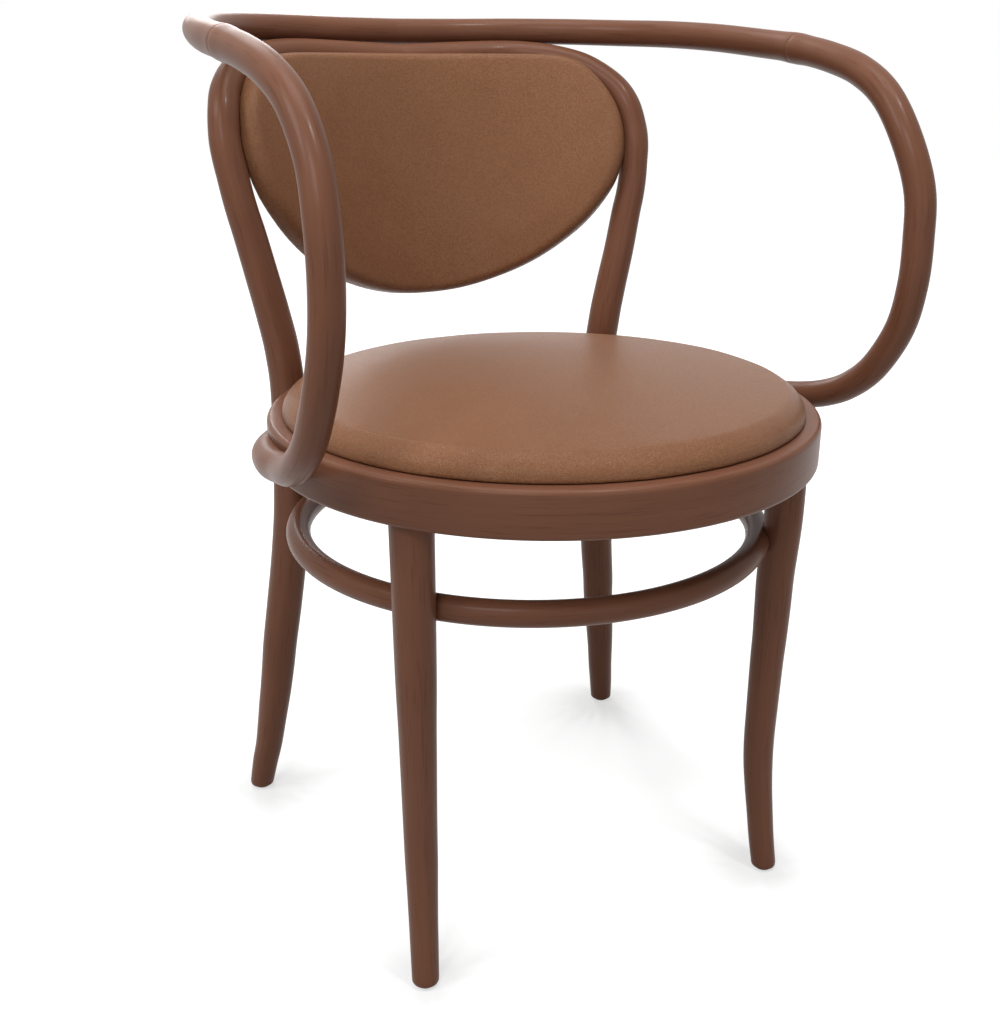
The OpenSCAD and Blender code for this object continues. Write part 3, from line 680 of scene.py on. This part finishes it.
# back hoop and both rear legs in one length
hoopValues = {
    "route": [
        (0.0000, 0.2489, 0.7160, 0.0128), (0.0500, 0.2465, 0.7182, 0.0128),
        (0.1039, 0.2393, 0.7200, 0.0128), (0.1351, 0.2234, 0.7183, 0.0129),
        (0.1599, 0.2060, 0.7133, 0.0130), (0.1786, 0.1899, 0.7054, 0.0130),
        (0.1948, 0.1687, 0.6895, 0.0131), (0.2019, 0.1544, 0.6724, 0.0133),
        (0.2050, 0.1457, 0.6511, 0.0134), (0.2046, 0.1410, 0.6360, 0.0135),
        (0.2023, 0.1382, 0.6206, 0.0137), (0.1997, 0.1357, 0.6035, 0.0138),
        (0.1964, 0.1342, 0.5876, 0.0140), (0.1921, 0.1336, 0.5705, 0.0143),
        (0.1843, 0.1320, 0.5355, 0.0147), (0.1761, 0.1323, 0.4994, 0.0152),
        (0.1697, 0.1329, 0.4652, 0.0156), (0.1663, 0.1350, 0.4215, 0.0158),
        (0.1680, 0.1366, 0.3270, 0.0170), (0.1722, 0.1416, 0.2705, 0.0170),
        (0.1782, 0.1489, 0.2147, 0.0170), (0.1840, 0.1531, 0.1722, 0.0166),
        (0.1868, 0.1559, 0.1459, 0.0162), (0.1900, 0.1581, 0.1206, 0.0156),
        (0.1930, 0.1603, 0.0998, 0.0150), (0.1958, 0.1629, 0.0788, 0.0142),
        (0.1993, 0.1670, 0.0521, 0.0134), (0.2033, 0.1713, 0.0301, 0.0128),
        (0.2070, 0.1755, 0.0061, 0.0118),
    ],
    "foot": [
        (0.2070, 0.1755, 0.0042, 0.0117), (0.2070, 0.1755, 0.0033, 0.0113),
        (0.2070, 0.1755, 0.0027, 0.0106), (0.2070, 0.1755, 0.0025, 0.0096),
    ],
    "steps": 9,
}
hoopHalf = throughPoints(hoopValues["route"], hoopValues["steps"]) + hoopValues["foot"]
hoopPath = mirrored(hoopHalf[:0:-1]) + hoopHalf

# front leg with its round tenon
legValues = {
    "route": [
        (0.1708, -0.1634, 0.4027, 0.0168), (0.1708, -0.1640, 0.3467, 0.0164),
        (0.1696, -0.1614, 0.2958, 0.0161), (0.1694, -0.1611, 0.2646, 0.0157),
        (0.1692, -0.1608, 0.2350, 0.0150), (0.1688, -0.1601, 0.2098, 0.0146),
        (0.1684, -0.1594, 0.1586, 0.0139), (0.1682, -0.1592, 0.1318, 0.0136),
        (0.1684, -0.1602, 0.1070, 0.0133), (0.1692, -0.1626, 0.0821, 0.0126),
        (0.1704, -0.1659, 0.0561, 0.0120), (0.1716, -0.1695, 0.0297, 0.0116),
        (0.1730, -0.1735, 0.0061, 0.0112),
    ],
    "tenon": [(0.1708, -0.1634, 0.4287, 0.0110), (0.1708, -0.1634, 0.40275, 0.0110)],
    "foot": [
        (0.1730, -0.1735, 0.0042, 0.0111), (0.1730, -0.1735, 0.0033, 0.0107),
        (0.1730, -0.1735, 0.0027, 0.0100), (0.1730, -0.1735, 0.0025, 0.0090),
    ],
    "steps": 9,
}
legPath = legValues["tenon"] + throughPoints(legValues["route"], legValues["steps"]) + legValues["foot"]


def nearestOn(path, spot):
    return min(path, key=lambda p: (Vector(p[:3]) - Vector(spot)).length)


# places and headings on one side of the chair, with those of the other side
def bothSides(spots):
    return spots + [(Vector((-p.x, p.y, p.z)), Vector((-d.x, d.y, d.z))) for p, d in spots]


# where each group of screws starts, and the way it points
stretcherCentre = Vector((0.0, chairValues["stretcherY"], chairValues["stretcherZ"]))
legPlace = Vector(nearestOn(legPath, chairValues["frontMeeting"])[:3])
rearPlace = Vector(chairValues["rearMeeting"])
braceSpots = []
for target in (legPlace, rearPlace):
    way = Vector((target.x - stretcherCentre.x, target.y - stretcherCentre.y, 0.0)).normalized()
    spot = stretcherCentre + way * (
        chairValues["stretcherRadius"] - chairValues["stretcherRod"] + screwValues["headHeight"] / 2)
    braceSpots.append((spot, way))
braceSpots = bothSides(braceSpots)
boardZ = underZ + screwValues["boardSink"] - screwValues["headHeight"]
boardSpots = [(roundSeat(ringMiddle, a, boardZ), Vector((0, 0, 1))) for a in screwValues["boardAngles"]]
armSpots = [
    (roundSeat(ringInside + screwValues["armSink"], a, ringMiddleZ), outward(a))
    for a in screwValues["armAngles"]]
boltSpots = [(roundSeat(ringInside, a, ringMiddleZ), outward(a)) for a in screwValues["boltAngles"]]

# seat ring, bent round and joined at the back
count = chairValues["ringSides"]
ringAngles = [90.0 + 360.0 * i / count for i in range(count)]
ringPath = [roundSeat(ringMiddle, a, ringMiddleZ) for a in ringAngles]
seatRing = newPiece("seatRing", ringPath, [(i, (i + 1) % count) for i in range(count)])
runTree(seatRing, bentRing, {
    "Width": chairValues["ringWidth"], "Height": chairValues["ringHeight"],
    "Rounding": chairValues["ringRounding"], "Finish": stainedBeech})
ringSeats = [seatOf(p, d, screwValues["boardOver"]) for p, d in boardSpots]
ringSeats += [seatOf(p, d, screwValues["armOver"]) for p, d in armSpots]
ringSeats += [
    seatOf(p, d, boltValues["seatOver"], boltValues["seatRadius"], boltValues["seatDepth"])
    for p, d in boltSpots]
cutSeats(seatRing, ringSeats)
writeGrain(seatRing, ringPath, closed=True)
dress(seatRing, "wood", "seat_ring")

# arm rail and both arms
dress(makeRod("topRail", railPath), "wood", "top_rail")
dress(makeRod("leftArm", armTail), "wood", "arm_left")
dress(makeRod("rightArm", mirrored(armTail)), "wood", "arm_right")

# back pad's form, as sizes of its outline and of the curves that it follows
padValues = {
    "width": 0.377,
    "height": 0.223,
    "thick": 0.022,
    "crown": 0.0025,
    "top": 0.720,
    "middleY": 0.27445,
    "bowTop": 0.062,
    "bowLow": 0.116,
    "lean": 0.037,
    "outline": [
        (0.0, 0.0), (0.261, 0.026), (0.525, 0.116), (0.746, 0.261), (0.895, 0.419), (0.971, 0.554),
        (1.0, 0.684), (0.982, 0.815), (0.894, 0.939), (0.76, 0.99), (0.441, 1.0), (0.0, 1.0)],
    "rounding": 0.0085,
    "backRounding": 0.0051,
    "edgeCrown": 0.2,
    "rimSteps": 6,
    "faceRows": 9,
    "frontRows": 8,
    "backRows": 6,
    "voxel": 0.004,
    "swell": 0.0016,
    "tightness": 0.8,
    "clearance": 0.0002,
    "fill": 0.85,
    "boardThick": 0.008,
    "boardBack": 0.0022,
    "screwShare": 0.955,
}
padLow = padValues["top"] - padValues["height"]
padMiddle = (0.0, padLow + padValues["height"] * 0.55)


# a point of the bent pad: across, up, and off its middle surface towards the back
def padPoint(x, z, off):
    rise = (z - padLow) / padValues["height"]
    bow = padValues["bowLow"] + (padValues["bowTop"] - padValues["bowLow"]) * rise
    share = 2 * x / padValues["width"]
    y = padValues["middleY"] - padValues["lean"] * (1 - rise) - bow * share * share
    slopeX = -4 * bow * share / padValues["width"]
    twist = (padValues["bowTop"] - padValues["bowLow"]) * share * share
    slopeZ = (padValues["lean"] - twist) / padValues["height"]
    normal = Vector((-slopeX, 1.0, -slopeZ)).normalized()
    return Vector((x, y + chairValues["axisY"], z)) + normal * off


# screws in the back hoop, which need the pad's form
hoopScrews = {
    "padTop": (0.0500, 0.2465, 0.71365),
    "padSide": (0.2046, 0.1410, 0.6360),
    "padSink": 0.0118,
    "hump": (0.1039, 0.2393, 0.7200),
    "rail": (0.1188, 0.2446, 0.7416),
    "humpSink": 0.0106,
}
sideStart = Vector(hoopScrews["padSide"])
boardMiddle = padValues["thick"] / 2 - padValues["boardBack"] - padValues["boardThick"] / 2
sideAim = padPoint(padValues["screwShare"] * padValues["width"] / 2, sideStart.z, boardMiddle)
sideWay = (sideAim - sideStart).normalized()
x, y, z = hoopScrews["padTop"]
padSpots = bothSides([
    (Vector((x, y + hoopScrews["padSink"], z)), Vector((0.0, -1.0, 0.0))),
    (sideStart - sideWay * hoopScrews["padSink"], sideWay)])
humpPlace, railPlace = Vector(hoopScrews["hump"]), Vector(hoopScrews["rail"])
humpWay = (railPlace - humpPlace).normalized()
humpSpots = bothSides([(humpPlace - humpWay * hoopScrews["humpSink"], humpWay)])

# back hoop, stretcher and front legs
# the hoop stays smooth over the pad's side screws
over = screwValues["rodOver"]
hoopSeats = [seatOf(p, d, over) for p, d in [padSpots[0], padSpots[2]] + humpSpots]
dress(makeRod("backHoop", hoopPath, 44, seats=hoopSeats), "wood", "back_hoop")
stretcherPath = []
for a in map(math.radians, ringAngles):
    stretcherPath.append((
        chairValues["stretcherRadius"] * math.cos(a),
        chairValues["stretcherY"] + chairValues["stretcherRadius"] * math.sin(a),
        chairValues["stretcherZ"], chairValues["stretcherRod"]))
stretcherSeats = [seatOf(p, d, over) for p, d in braceSpots]
dress(makeRod("stretcherRing", stretcherPath, 32, True, stretcherSeats), "wood", "stretcher_ring")
dress(makeRod("leftFrontLeg", legPath, 44), "wood", "front_leg_left")
dress(makeRod("rightFrontLeg", mirrored(legPath), 44), "wood", "front_leg_right")


# small fasteners: one turned shape for each kind, repeated by the tree
def turned(name, profile, segments=24):
    points, faces = [], []
    for radius, height in profile:
        for k in range(segments):
            a = 2 * math.pi * k / segments
            points.append((radius * math.cos(a), radius * math.sin(a), height))
    for r in range(len(profile) - 1):
        for k in range(segments):
            a, b = r * segments + k, r * segments + (k + 1) % segments
            faces.append((a, b, b + segments, a + segments))
    points += [(0.0, 0.0, profile[0][1]), (0.0, 0.0, profile[-1][1])]
    last = (len(profile) - 1) * segments
    for k in range(segments):
        faces.append((len(points) - 2, (k + 1) % segments, k))
        faces.append((len(points) - 1, last + k, last + (k + 1) % segments))
    return newPiece(name, points, (), faces)


# a woodscrew with a flat head, a cross recess and its thread's ridges
def makeScrew(name, length):
    head, shank = screwValues["headRadius"], screwValues["shankRadius"]
    high = screwValues["headHeight"]
    root, crest = shank * screwValues["threadRoot"], shank * screwValues["threadCrest"]
    profile = [(head - 0.0004, 0.0), (head, 0.00035), (head, 0.0009), (shank, high)]
    z = high + 0.002
    while z < length - 0.004:
        profile += [(root, z), (crest, z + 0.0007), (root, z + 0.0014)]
        z += screwValues["pitch"]
    profile += [(root, length - 0.003), (screwValues["point"], length)]
    screw = turned(name, profile, 20)
    long, wide, deep = screwValues["recess"]
    for size in ((long, wide, deep, 1.0), (wide, long, deep, 1.0)):
        cutForm(screw, lambda cutter: bmesh.ops.create_cube(cutter, size=1.0, matrix=Matrix.Diagonal(size)))
    return screw


# a bolt with a round head and a hexagon socket
def makeBolt(name):
    v = boltValues
    head, shank, high = v["headRadius"], v["shankRadius"], v["headHeight"]
    profile = [(head - 0.0006, 0.0), (head, 0.0006), (head, high), (shank, high + 0.0001)]
    z = high + v["plainLength"]
    profile.append((shank, z))
    while z < v["length"] - 0.0015:
        profile += [(shank * v["threadRoot"], z + 0.0003), (shank, z + 0.0008)]
        z += v["pitch"]
    profile.append((shank * v["endShare"], v["length"]))
    bolt = turned(name, profile, 24)

    def socket(cutter):
        bmesh.ops.create_cone(
            cutter, cap_ends=True, segments=6, radius1=v["socketRadius"], radius2=v["socketRadius"],
            depth=v["socketDepth"])
    cutForm(bolt, socket)
    return bolt


def repeatPiece(name, pattern, spots, finish, slot, *nodes):
    piece = newPiece(name, [p for p, d in spots])
    layer = piece.data.attributes.new("aim", "FLOAT_VECTOR", "POINT")
    layer.data.foreach_set("vector", [value for p, d in spots for value in d])
    runTree(piece, repeatAlong, {"Pattern": pattern, "Finish": finish})
    piece.data.materials.clear()
    piece.data.materials.append(finish)
    bpy.data.objects.remove(pattern)
    return dress(piece, slot, *nodes)


# each group of screws: its places, its length and the node that it stands for
screwGroups = {
    "boardScrews": (boardSpots, 0.0305, "seat_board_screws"),
    "armScrews": (armSpots, 0.0353, "arm_ring_screws"),
    "braceScrews": (braceSpots, 0.0310, "stretcher_screws"),
    "railScrews": (humpSpots, 0.0357, "rail_hoop_screws"),
    "padScrews": (padSpots, 0.0410, "back_pad_screws"),
}
for name, (spots, length, node) in screwGroups.items():
    repeatPiece(name, makeScrew("screw", length), spots, zincPlate, "zinc_steel", node)
boltHeads = [(p - d * boltValues["washer"], d) for p, d in boltSpots]
repeatPiece("legBolts", makeBolt("bolt"), boltHeads, zincPlate, "zinc_steel", "rear_leg_bolts")

glideValues = {
    "places": [(0.173, -0.1735), (-0.173, -0.1735), (0.207, 0.1755), (-0.207, 0.1755)],
    "profile": [
        (0.0066, 0.0), (0.0074, 0.0002), (0.0079, 0.0007), (0.0080, 0.0014), (0.0080, 0.0022),
        (0.0020, 0.0023), (0.0020, 0.0155), (0.0008, 0.0165)],
    "sides": 36,
}
glideSpots = [(Vector((x, y, 0.0)), Vector((0, 0, 1))) for x, y in glideValues["places"]]
glide = turned("glide", glideValues["profile"], glideValues["sides"])
repeatPiece("footGlides", glide, glideSpots, glidePlastic, "glide", "foot_glides")

# carried-over nodes keep their shape and get the finishes of the real ones
for name, finish in (
        ("seat_board", barePly), ("back_board", barePly), ("splice_dowels", barePly),
        ("rear_leg_washers", zincPlate), ("rear_leg_inserts", turnedBrass)):
    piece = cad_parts[name]
    for i in range(max(1, len(piece.data.materials))):
        if len(piece.data.materials) <= i:
            piece.data.materials.append(finish)
        else:
            piece.data.materials[i] = finish
print("fasteners made")

# leather under pressure, and the light passes that even its faces out before and after
clothValues = {
    "pressure": 4.0,
    "stiffness": 25.0,
    "frames": 20,
    "evenBefore": 3,
    "evenAfter": 2,
}


# lets a closed leather form swell under cloth pressure, each point no further than a cap
def swellLeather(piece, voxel, reach):
    remesh = piece.modifiers.new("evenFaces", "REMESH")
    remesh.mode = "VOXEL"
    remesh.voxel_size = voxel
    applyModifiers(piece)
    for k in range(clothValues["evenBefore"]):
        evenOut(piece)
    start = [vertex.co.copy() for vertex in piece.data.vertices]
    cloth = piece.modifiers.new("leatherPull", "CLOTH")
    cloth.settings.use_pressure = True
    cloth.settings.uniform_pressure_force = clothValues["pressure"]
    cloth.settings.tension_stiffness = clothValues["stiffness"]
    cloth.settings.compression_stiffness = clothValues["stiffness"]
    cloth.settings.effector_weights.gravity = 0.0
    for number in range(1, clothValues["frames"] + 1):
        scene.frame_set(number)
    applyModifiers(piece)
    scene.frame_set(1)
    for vertex, home in zip(piece.data.vertices, start):
        move = vertex.co - home
        if move.length > reach:
            vertex.co = home + move * (reach / move.length)
    for k in range(clothValues["evenAfter"]):
        evenOut(piece)
    return piece


# one light pass that relaxes the voxel steps
def evenOut(piece):
    form = bmesh.new()
    form.from_mesh(piece.data)
    bmesh.ops.smooth_vert(
        form, verts=form.verts, factor=0.5, use_axis_x=True, use_axis_y=True, use_axis_z=True)
    form.to_mesh(piece.data)
    form.free()


# faces of a closed form whose points run from one pole, over rows of equal count, to the other
def poleFaces(rows, count):
    faces = [(0, 1 + (k + 1) % count, 1 + k) for k in range(count)]
    for r in range(rows - 1):
        for k in range(count):
            a, b = 1 + r * count + k, 1 + r * count + (k + 1) % count
            faces.append((a, b, b + count, a + count))
    last, end = 1 + rows * count, 1 + (rows - 1) * count
    return faces + [(last, end + k, end + (k + 1) % count) for k in range(count)]


# keeps the form of a piece, so that leather can be drawn back to it
def rememberForm(piece):
    mesh = piece.data
    return BVHTree.FromPolygons([v.co for v in mesh.vertices], [p.vertices[:] for p in mesh.polygons])


def finishLeather(piece, form, share):
    for polygon in piece.data.polygons:
        polygon.use_smooth = True
    fine = piece.modifiers.new("fine", "SUBSURF")
    fine.levels = 1
    fine.render_levels = 1
    applyModifiers(piece)
    for vertex in piece.data.vertices:
        near = form.find_nearest(vertex.co)[0]
        vertex.co = vertex.co.lerp(near, share)
    piece.data.materials.clear()
    piece.data.materials.append(brownLeather)
    return piece


# seat cushion
seatValues = {
    "sides": 144,
    "radius": 0.218,
    "low": 0.0003,
    "height": 0.020,
    "crown": 0.010,
    "rounding": 0.018,
    # shares of the way over the edge, with the tilt at each
    "roll": [(0.0, 8), (0.12, 38), (0.45, 52), (0.75, 72), (0.92, 82), (1.0, 90)],
    "edge": 0.0013,
    "hemRows": (0.001, 0.003, 0.007),
    "topRows": 24,
    "edgeRows": 5,
    "underRows": 12,
    "opening": 0.192,
    "openingLow": -0.005,
    "openingDepth": 0.015,
    "voxel": 0.0045,
    "swell": 0.0016,
    "tightness": 0.8,
    "fill": 0.85,
}


# the leather's way over the edge, from shares of its length and the tilt at each
def rollOver(turns, reach, drop, steps=30):
    made, x, z = [], 0.0, 0.0
    for k in range(steps):
        t = (k + 0.5) / steps
        for (a, first), (b, second) in zip(turns, turns[1:]):
            if a <= t <= b:
                tilt = math.radians(first + (second - first) * (t - a) / (b - a))
        x += math.cos(tilt)
        z -= math.sin(tilt)
        made.append((x, z))
    wide, deep = max(x for x, z in made), made[-1][1]
    return [(x * reach / wide, -z * drop / deep) for x, z in made]


def makeSeatCushion():
    v = seatValues
    flat = v["radius"] - v["rounding"]
    profile = []
    for k in range(1, v["topRows"] + 1):
        s = k / v["topRows"]
        profile.append((s * flat, v["height"] + v["crown"] * (1 - s * s)))
    low, edge = v["low"], v["edge"]
    for x, z in rollOver(v["roll"], v["rounding"], v["height"] - low - edge):
        profile.append((flat + x, v["height"] + z))
    side = profile[-1][0]
    for k in range(1, v["edgeRows"] + 1):
        a = math.radians(90.0 * k / v["edgeRows"])
        profile.append((side - edge * (1 - math.cos(a)), low + edge * (1 - math.sin(a))))
    under = side - edge
    profile += [(under - inset, low) for inset in v["hemRows"]]
    for k in range(1, v["underRows"]):
        profile.append(((under - v["hemRows"][-1]) * (1 - k / v["underRows"]), low))
    points = [Vector((0, chairValues["axisY"], chairValues["seatTop"] + v["height"] + v["crown"]))]
    for radius, height in profile:
        for k in range(v["sides"]):
            points.append(roundSeat(radius, 360.0 * k / v["sides"], chairValues["seatTop"] + height))
    points.append(Vector((0, chairValues["axisY"], chairValues["seatTop"] + low)))
    faces = [(f[0], *f[:0:-1]) for f in poleFaces(len(profile), v["sides"])]
    # the drawn cushion takes on a share of what the leather swells
    leather = newPiece("swollenLeather", points, (), faces)
    swollen = rememberForm(swellLeather(leather, v["voxel"], v["swell"]))
    bpy.data.objects.remove(leather)
    cushion = newPiece("seatCushion", points, (), faces)
    finishLeather(cushion, swollen, 1 - v["tightness"])
    floor = chairValues["seatTop"] + low
    for vertex in cushion.data.vertices:
        vertex.co.z = max(vertex.co.z, floor)
    return cushion


seatCushion = makeSeatCushion()
# the board's underside is bare inside the turned-in leather
openingStart = seatAxis + Vector((0, 0, chairValues["seatTop"] + seatValues["openingLow"]))
cutSeats(seatCushion, [(openingStart, Vector((0, 0, 1)), seatValues["opening"], seatValues["openingDepth"])])
dress(seatCushion, "leather", "seat_cover", "seat_foam")


# back pad
def makeBackPad():
    v = padValues
    half = [(x * v["width"] / 2, padLow + z * v["height"]) for x, z in v["outline"]]
    start, end = mirrored(half[1:2])[0], mirrored(half[-2:-1])[0]
    steps = v["rimSteps"]
    loop = throughPoints([start] + half + [end], steps)[steps:-steps]
    rim = loop + mirrored(loop[-2:0:-1])
    back, inner = v["thick"] / 2, v["faceRows"]
    r, small, edge = v["rounding"], v["backRounding"], v["edgeCrown"] * v["crown"]
    # each row: its share of the outline, its inset from it and its depth
    rows = []
    for k in range(1, inner):
        s = k / inner
        rows.append((s, r, -back - v["crown"] * (1 - (1 - v["edgeCrown"]) * s * s * s)))
    for k in range(v["frontRows"] + 1):
        a = math.radians(90.0 * k / v["frontRows"])
        rows.append((1.0, r * (1 - math.sin(a)), -back - edge + (r + edge) * (1 - math.cos(a))))
    for k in range(v["backRows"] + 1):
        a = math.radians(90.0 * k / v["backRows"])
        rows.append((1.0, small * (1 - math.cos(a)), back - small * (1 - math.sin(a))))
    for k in range(inner - 1, 0, -1):
        rows.append((k / inner, small, back))
    points = [padPoint(*padMiddle, -back - v["crown"])]
    for share, inset, off in rows:
        for x, z in rim:
            dx, dz = x - padMiddle[0], z - padMiddle[1]
            k = share * (1 - inset / math.hypot(dx, dz))
            points.append(padPoint(padMiddle[0] + dx * k, padMiddle[1] + dz * k, off))
    points.append(padPoint(*padMiddle, back))
    pad = newPiece("backPad", points, (), poleFaces(len(rows), len(rim)))
    form = bmesh.new()
    form.from_mesh(pad.data)
    bmesh.ops.recalc_face_normals(form, faces=form.faces)
    form.to_mesh(pad.data)
    form.free()
    drawn = rememberForm(pad)
    swellLeather(pad, v["voxel"], v["swell"])
    return finishLeather(pad, drawn, v["tightness"])


# presses the pad's leather clear of the hoop that it is screwed to
def pressClear(piece, path, room):
    tree = KDTree(len(path))
    for i, p in enumerate(path):
        tree.insert(p[:3], i)
    tree.balance()
    for vertex in piece.data.vertices:
        i = tree.find(vertex.co)[1]
        near = Vector(path[i][:3])
        before, after = Vector(path[max(i - 1, 0)][:3]), Vector(path[min(i + 1, len(path) - 1)][:3])
        heading = (after - before).normalized()
        away = vertex.co - near
        away -= heading * away.dot(heading)
        short = path[i][3] + room - away.length
        if short > 0 and away.length > 0:
            vertex.co += away.normalized() * short


backPad = makeBackPad()
pressClear(backPad, hoopPath, padValues["clearance"])
dress(backPad, "leather", "back_cover", "back_foam")
print("leather made")

# floor, surroundings and lamps
stageValues = {
    "floorSize": 16.0,
    "floorColour": (0.42, 0.42, 0.42),
    "nearLift": 0.84,
    "farLift": 1.0,
    "liftReach": (0.45, 1.30),
    "footReach": 0.20,
    "footShade": (0.89, 0.955, 0.70),  # openness where it is full and where it ends, and its tone
    "airStrength": 0.20,
}


# 1 where the camera sees a surface straight, in gloss or through glass, 0 for its light on others
def seenDirectly(tree, x, y):
    rays = addNode(tree, "ShaderNodeLightPath", x, y)
    one = addNode(tree, "ShaderNodeMath", x + 200, y, operation="MAXIMUM")
    join(tree, rays.outputs["Is Camera Ray"], one.inputs[0])
    join(tree, rays.outputs["Is Glossy Ray"], one.inputs[1])
    two = addNode(tree, "ShaderNodeMath", x + 400, y, operation="MAXIMUM")
    join(tree, one.outputs[0], two.inputs[0])
    join(tree, rays.outputs["Is Transmission Ray"], two.inputs[1])
    return two.outputs[0]


def makeFloor():
    s = stageValues["floorSize"] / 2
    floor = newPiece("floor", [(-s, -s, 0), (s, -s, 0), (s, s, 0), (-s, s, 0)], (), [(0, 1, 2, 3)])
    material = bpy.data.materials.new("paleFloor")
    material.use_nodes = True
    tree = material.node_tree
    tree.nodes.clear()
    out = addNode(tree, "ShaderNodeOutputMaterial", 600, 0)
    matt = addNode(tree, "ShaderNodeBsdfDiffuse", 0, 100)
    matt.inputs["Color"].default_value = (*stageValues["floorColour"], 1.0)
    glow = addNode(tree, "ShaderNodeEmission", 0, -100)
    seen = seenDirectly(tree, -900, -100)
    start = addNode(tree, "ShaderNodeTexCoord", -900, -300)
    reach = addNode(tree, "ShaderNodeVectorMath", -700, -300, operation="LENGTH")
    join(tree, start.outputs["Object"], reach.inputs[0])
    spread = addNode(tree, "ShaderNodeMapRange", -500, -300, interpolation_type="SMOOTHSTEP")
    spread.inputs["From Min"].default_value = stageValues["liftReach"][0]
    spread.inputs["From Max"].default_value = stageValues["liftReach"][1]
    spread.inputs["To Min"].default_value = stageValues["nearLift"]
    spread.inputs["To Max"].default_value = stageValues["farLift"]
    join(tree, reach.outputs["Value"], spread.inputs["Value"])
    nearness = addNode(tree, "ShaderNodeAmbientOcclusion", -700, -600)
    nearness.inputs["Distance"].default_value = stageValues["footReach"]
    shade = addNode(tree, "ShaderNodeMapRange", -500, -600)
    shade.inputs["From Min"].default_value = stageValues["footShade"][0]
    shade.inputs["From Max"].default_value = stageValues["footShade"][1]
    shade.inputs["To Min"].default_value = stageValues["footShade"][2]
    join(tree, nearness.outputs["AO"], shade.inputs["Value"])
    clear = addNode(tree, "ShaderNodeMath", -300, -300, operation="MULTIPLY")
    join(tree, spread.outputs["Result"], clear.inputs[0])
    join(tree, shade.outputs["Result"], clear.inputs[1])
    lift = addNode(tree, "ShaderNodeMath", -150, -100, operation="MULTIPLY")
    join(tree, seen, lift.inputs[0])
    join(tree, clear.outputs[0], lift.inputs[1])
    join(tree, lift.outputs[0], glow.inputs["Strength"])
    both = addNode(tree, "ShaderNodeAddShader", 300, 0)
    join(tree, matt.outputs[0], both.inputs[0])
    join(tree, glow.outputs[0], both.inputs[1])
    join(tree, both.outputs[0], out.inputs["Surface"])
    floor.data.materials.append(material)


def makeSurroundings():
    world = bpy.data.worlds.new("paleRoom")
    world.use_nodes = True
    scene.world = world
    tree = world.node_tree
    tree.nodes.clear()
    out = addNode(tree, "ShaderNodeOutputWorld", 600, 0)
    air = addNode(tree, "ShaderNodeBackground", 0, 100)
    air.inputs["Color"].default_value = (*white, 1.0)
    air.inputs["Strength"].default_value = stageValues["airStrength"]
    backdrop = addNode(tree, "ShaderNodeBackground", 0, -100)
    backdrop.inputs["Color"].default_value = (*white, 1.0)
    backdrop.inputs["Strength"].default_value = 1.0
    mix = addNode(tree, "ShaderNodeMixShader", 300, 0)
    join(tree, seenDirectly(tree, -600, 0), mix.inputs[0])
    join(tree, air.outputs[0], mix.inputs[1])
    join(tree, backdrop.outputs[0], mix.inputs[2])
    join(tree, mix.outputs[0], out.inputs["Surface"])


# each lamp's place, width, height and power
lampAim = (0.0, 0.0, 0.4)
lampValues = {
    "keyLamp": ((-1.30, -1.30, 2.24), 0.8, 0.7, 18.0),
    "sideLamp": ((-1.84, 0.0, 2.24), 0.9, 0.8, 21.0),
    "topLamp": ((-0.1, 0.1, 3.0), 1.3, 1.3, 24.0),
    "smallLamp": ((0.34, -0.85, 2.8), 0.22, 0.22, 18.0),
    "backLamp": ((0.0, 1.84, 2.24), 0.9, 0.8, 7.5),
    "backLowLamp": ((0.40, 2.44, 1.42), 0.9, 0.8, 13.0),
    "frontLamp": ((0.0, -2.54, 0.94), 1.0, 0.8, 5.0),
    "cornerLamp": ((-1.80, -1.80, 0.94), 0.9, 0.8, 3.5),
}


def makeLamp(name, place, width, height, power):
    data = bpy.data.lights.new(name, "AREA")
    data.shape = "RECTANGLE"
    data.size = width
    data.size_y = height
    data.energy = power
    lamp = bpy.data.objects.new(name, data)
    lamp.location = place
    aim = Vector(lampAim) - Vector(place)
    lamp.rotation_euler = aim.to_track_quat("-Z", "Y").to_euler()
    scene.collection.objects.link(lamp)


makeFloor()
makeSurroundings()
for name, values in lampValues.items():
    makeLamp(name, *values)
print("stage and lamps set")
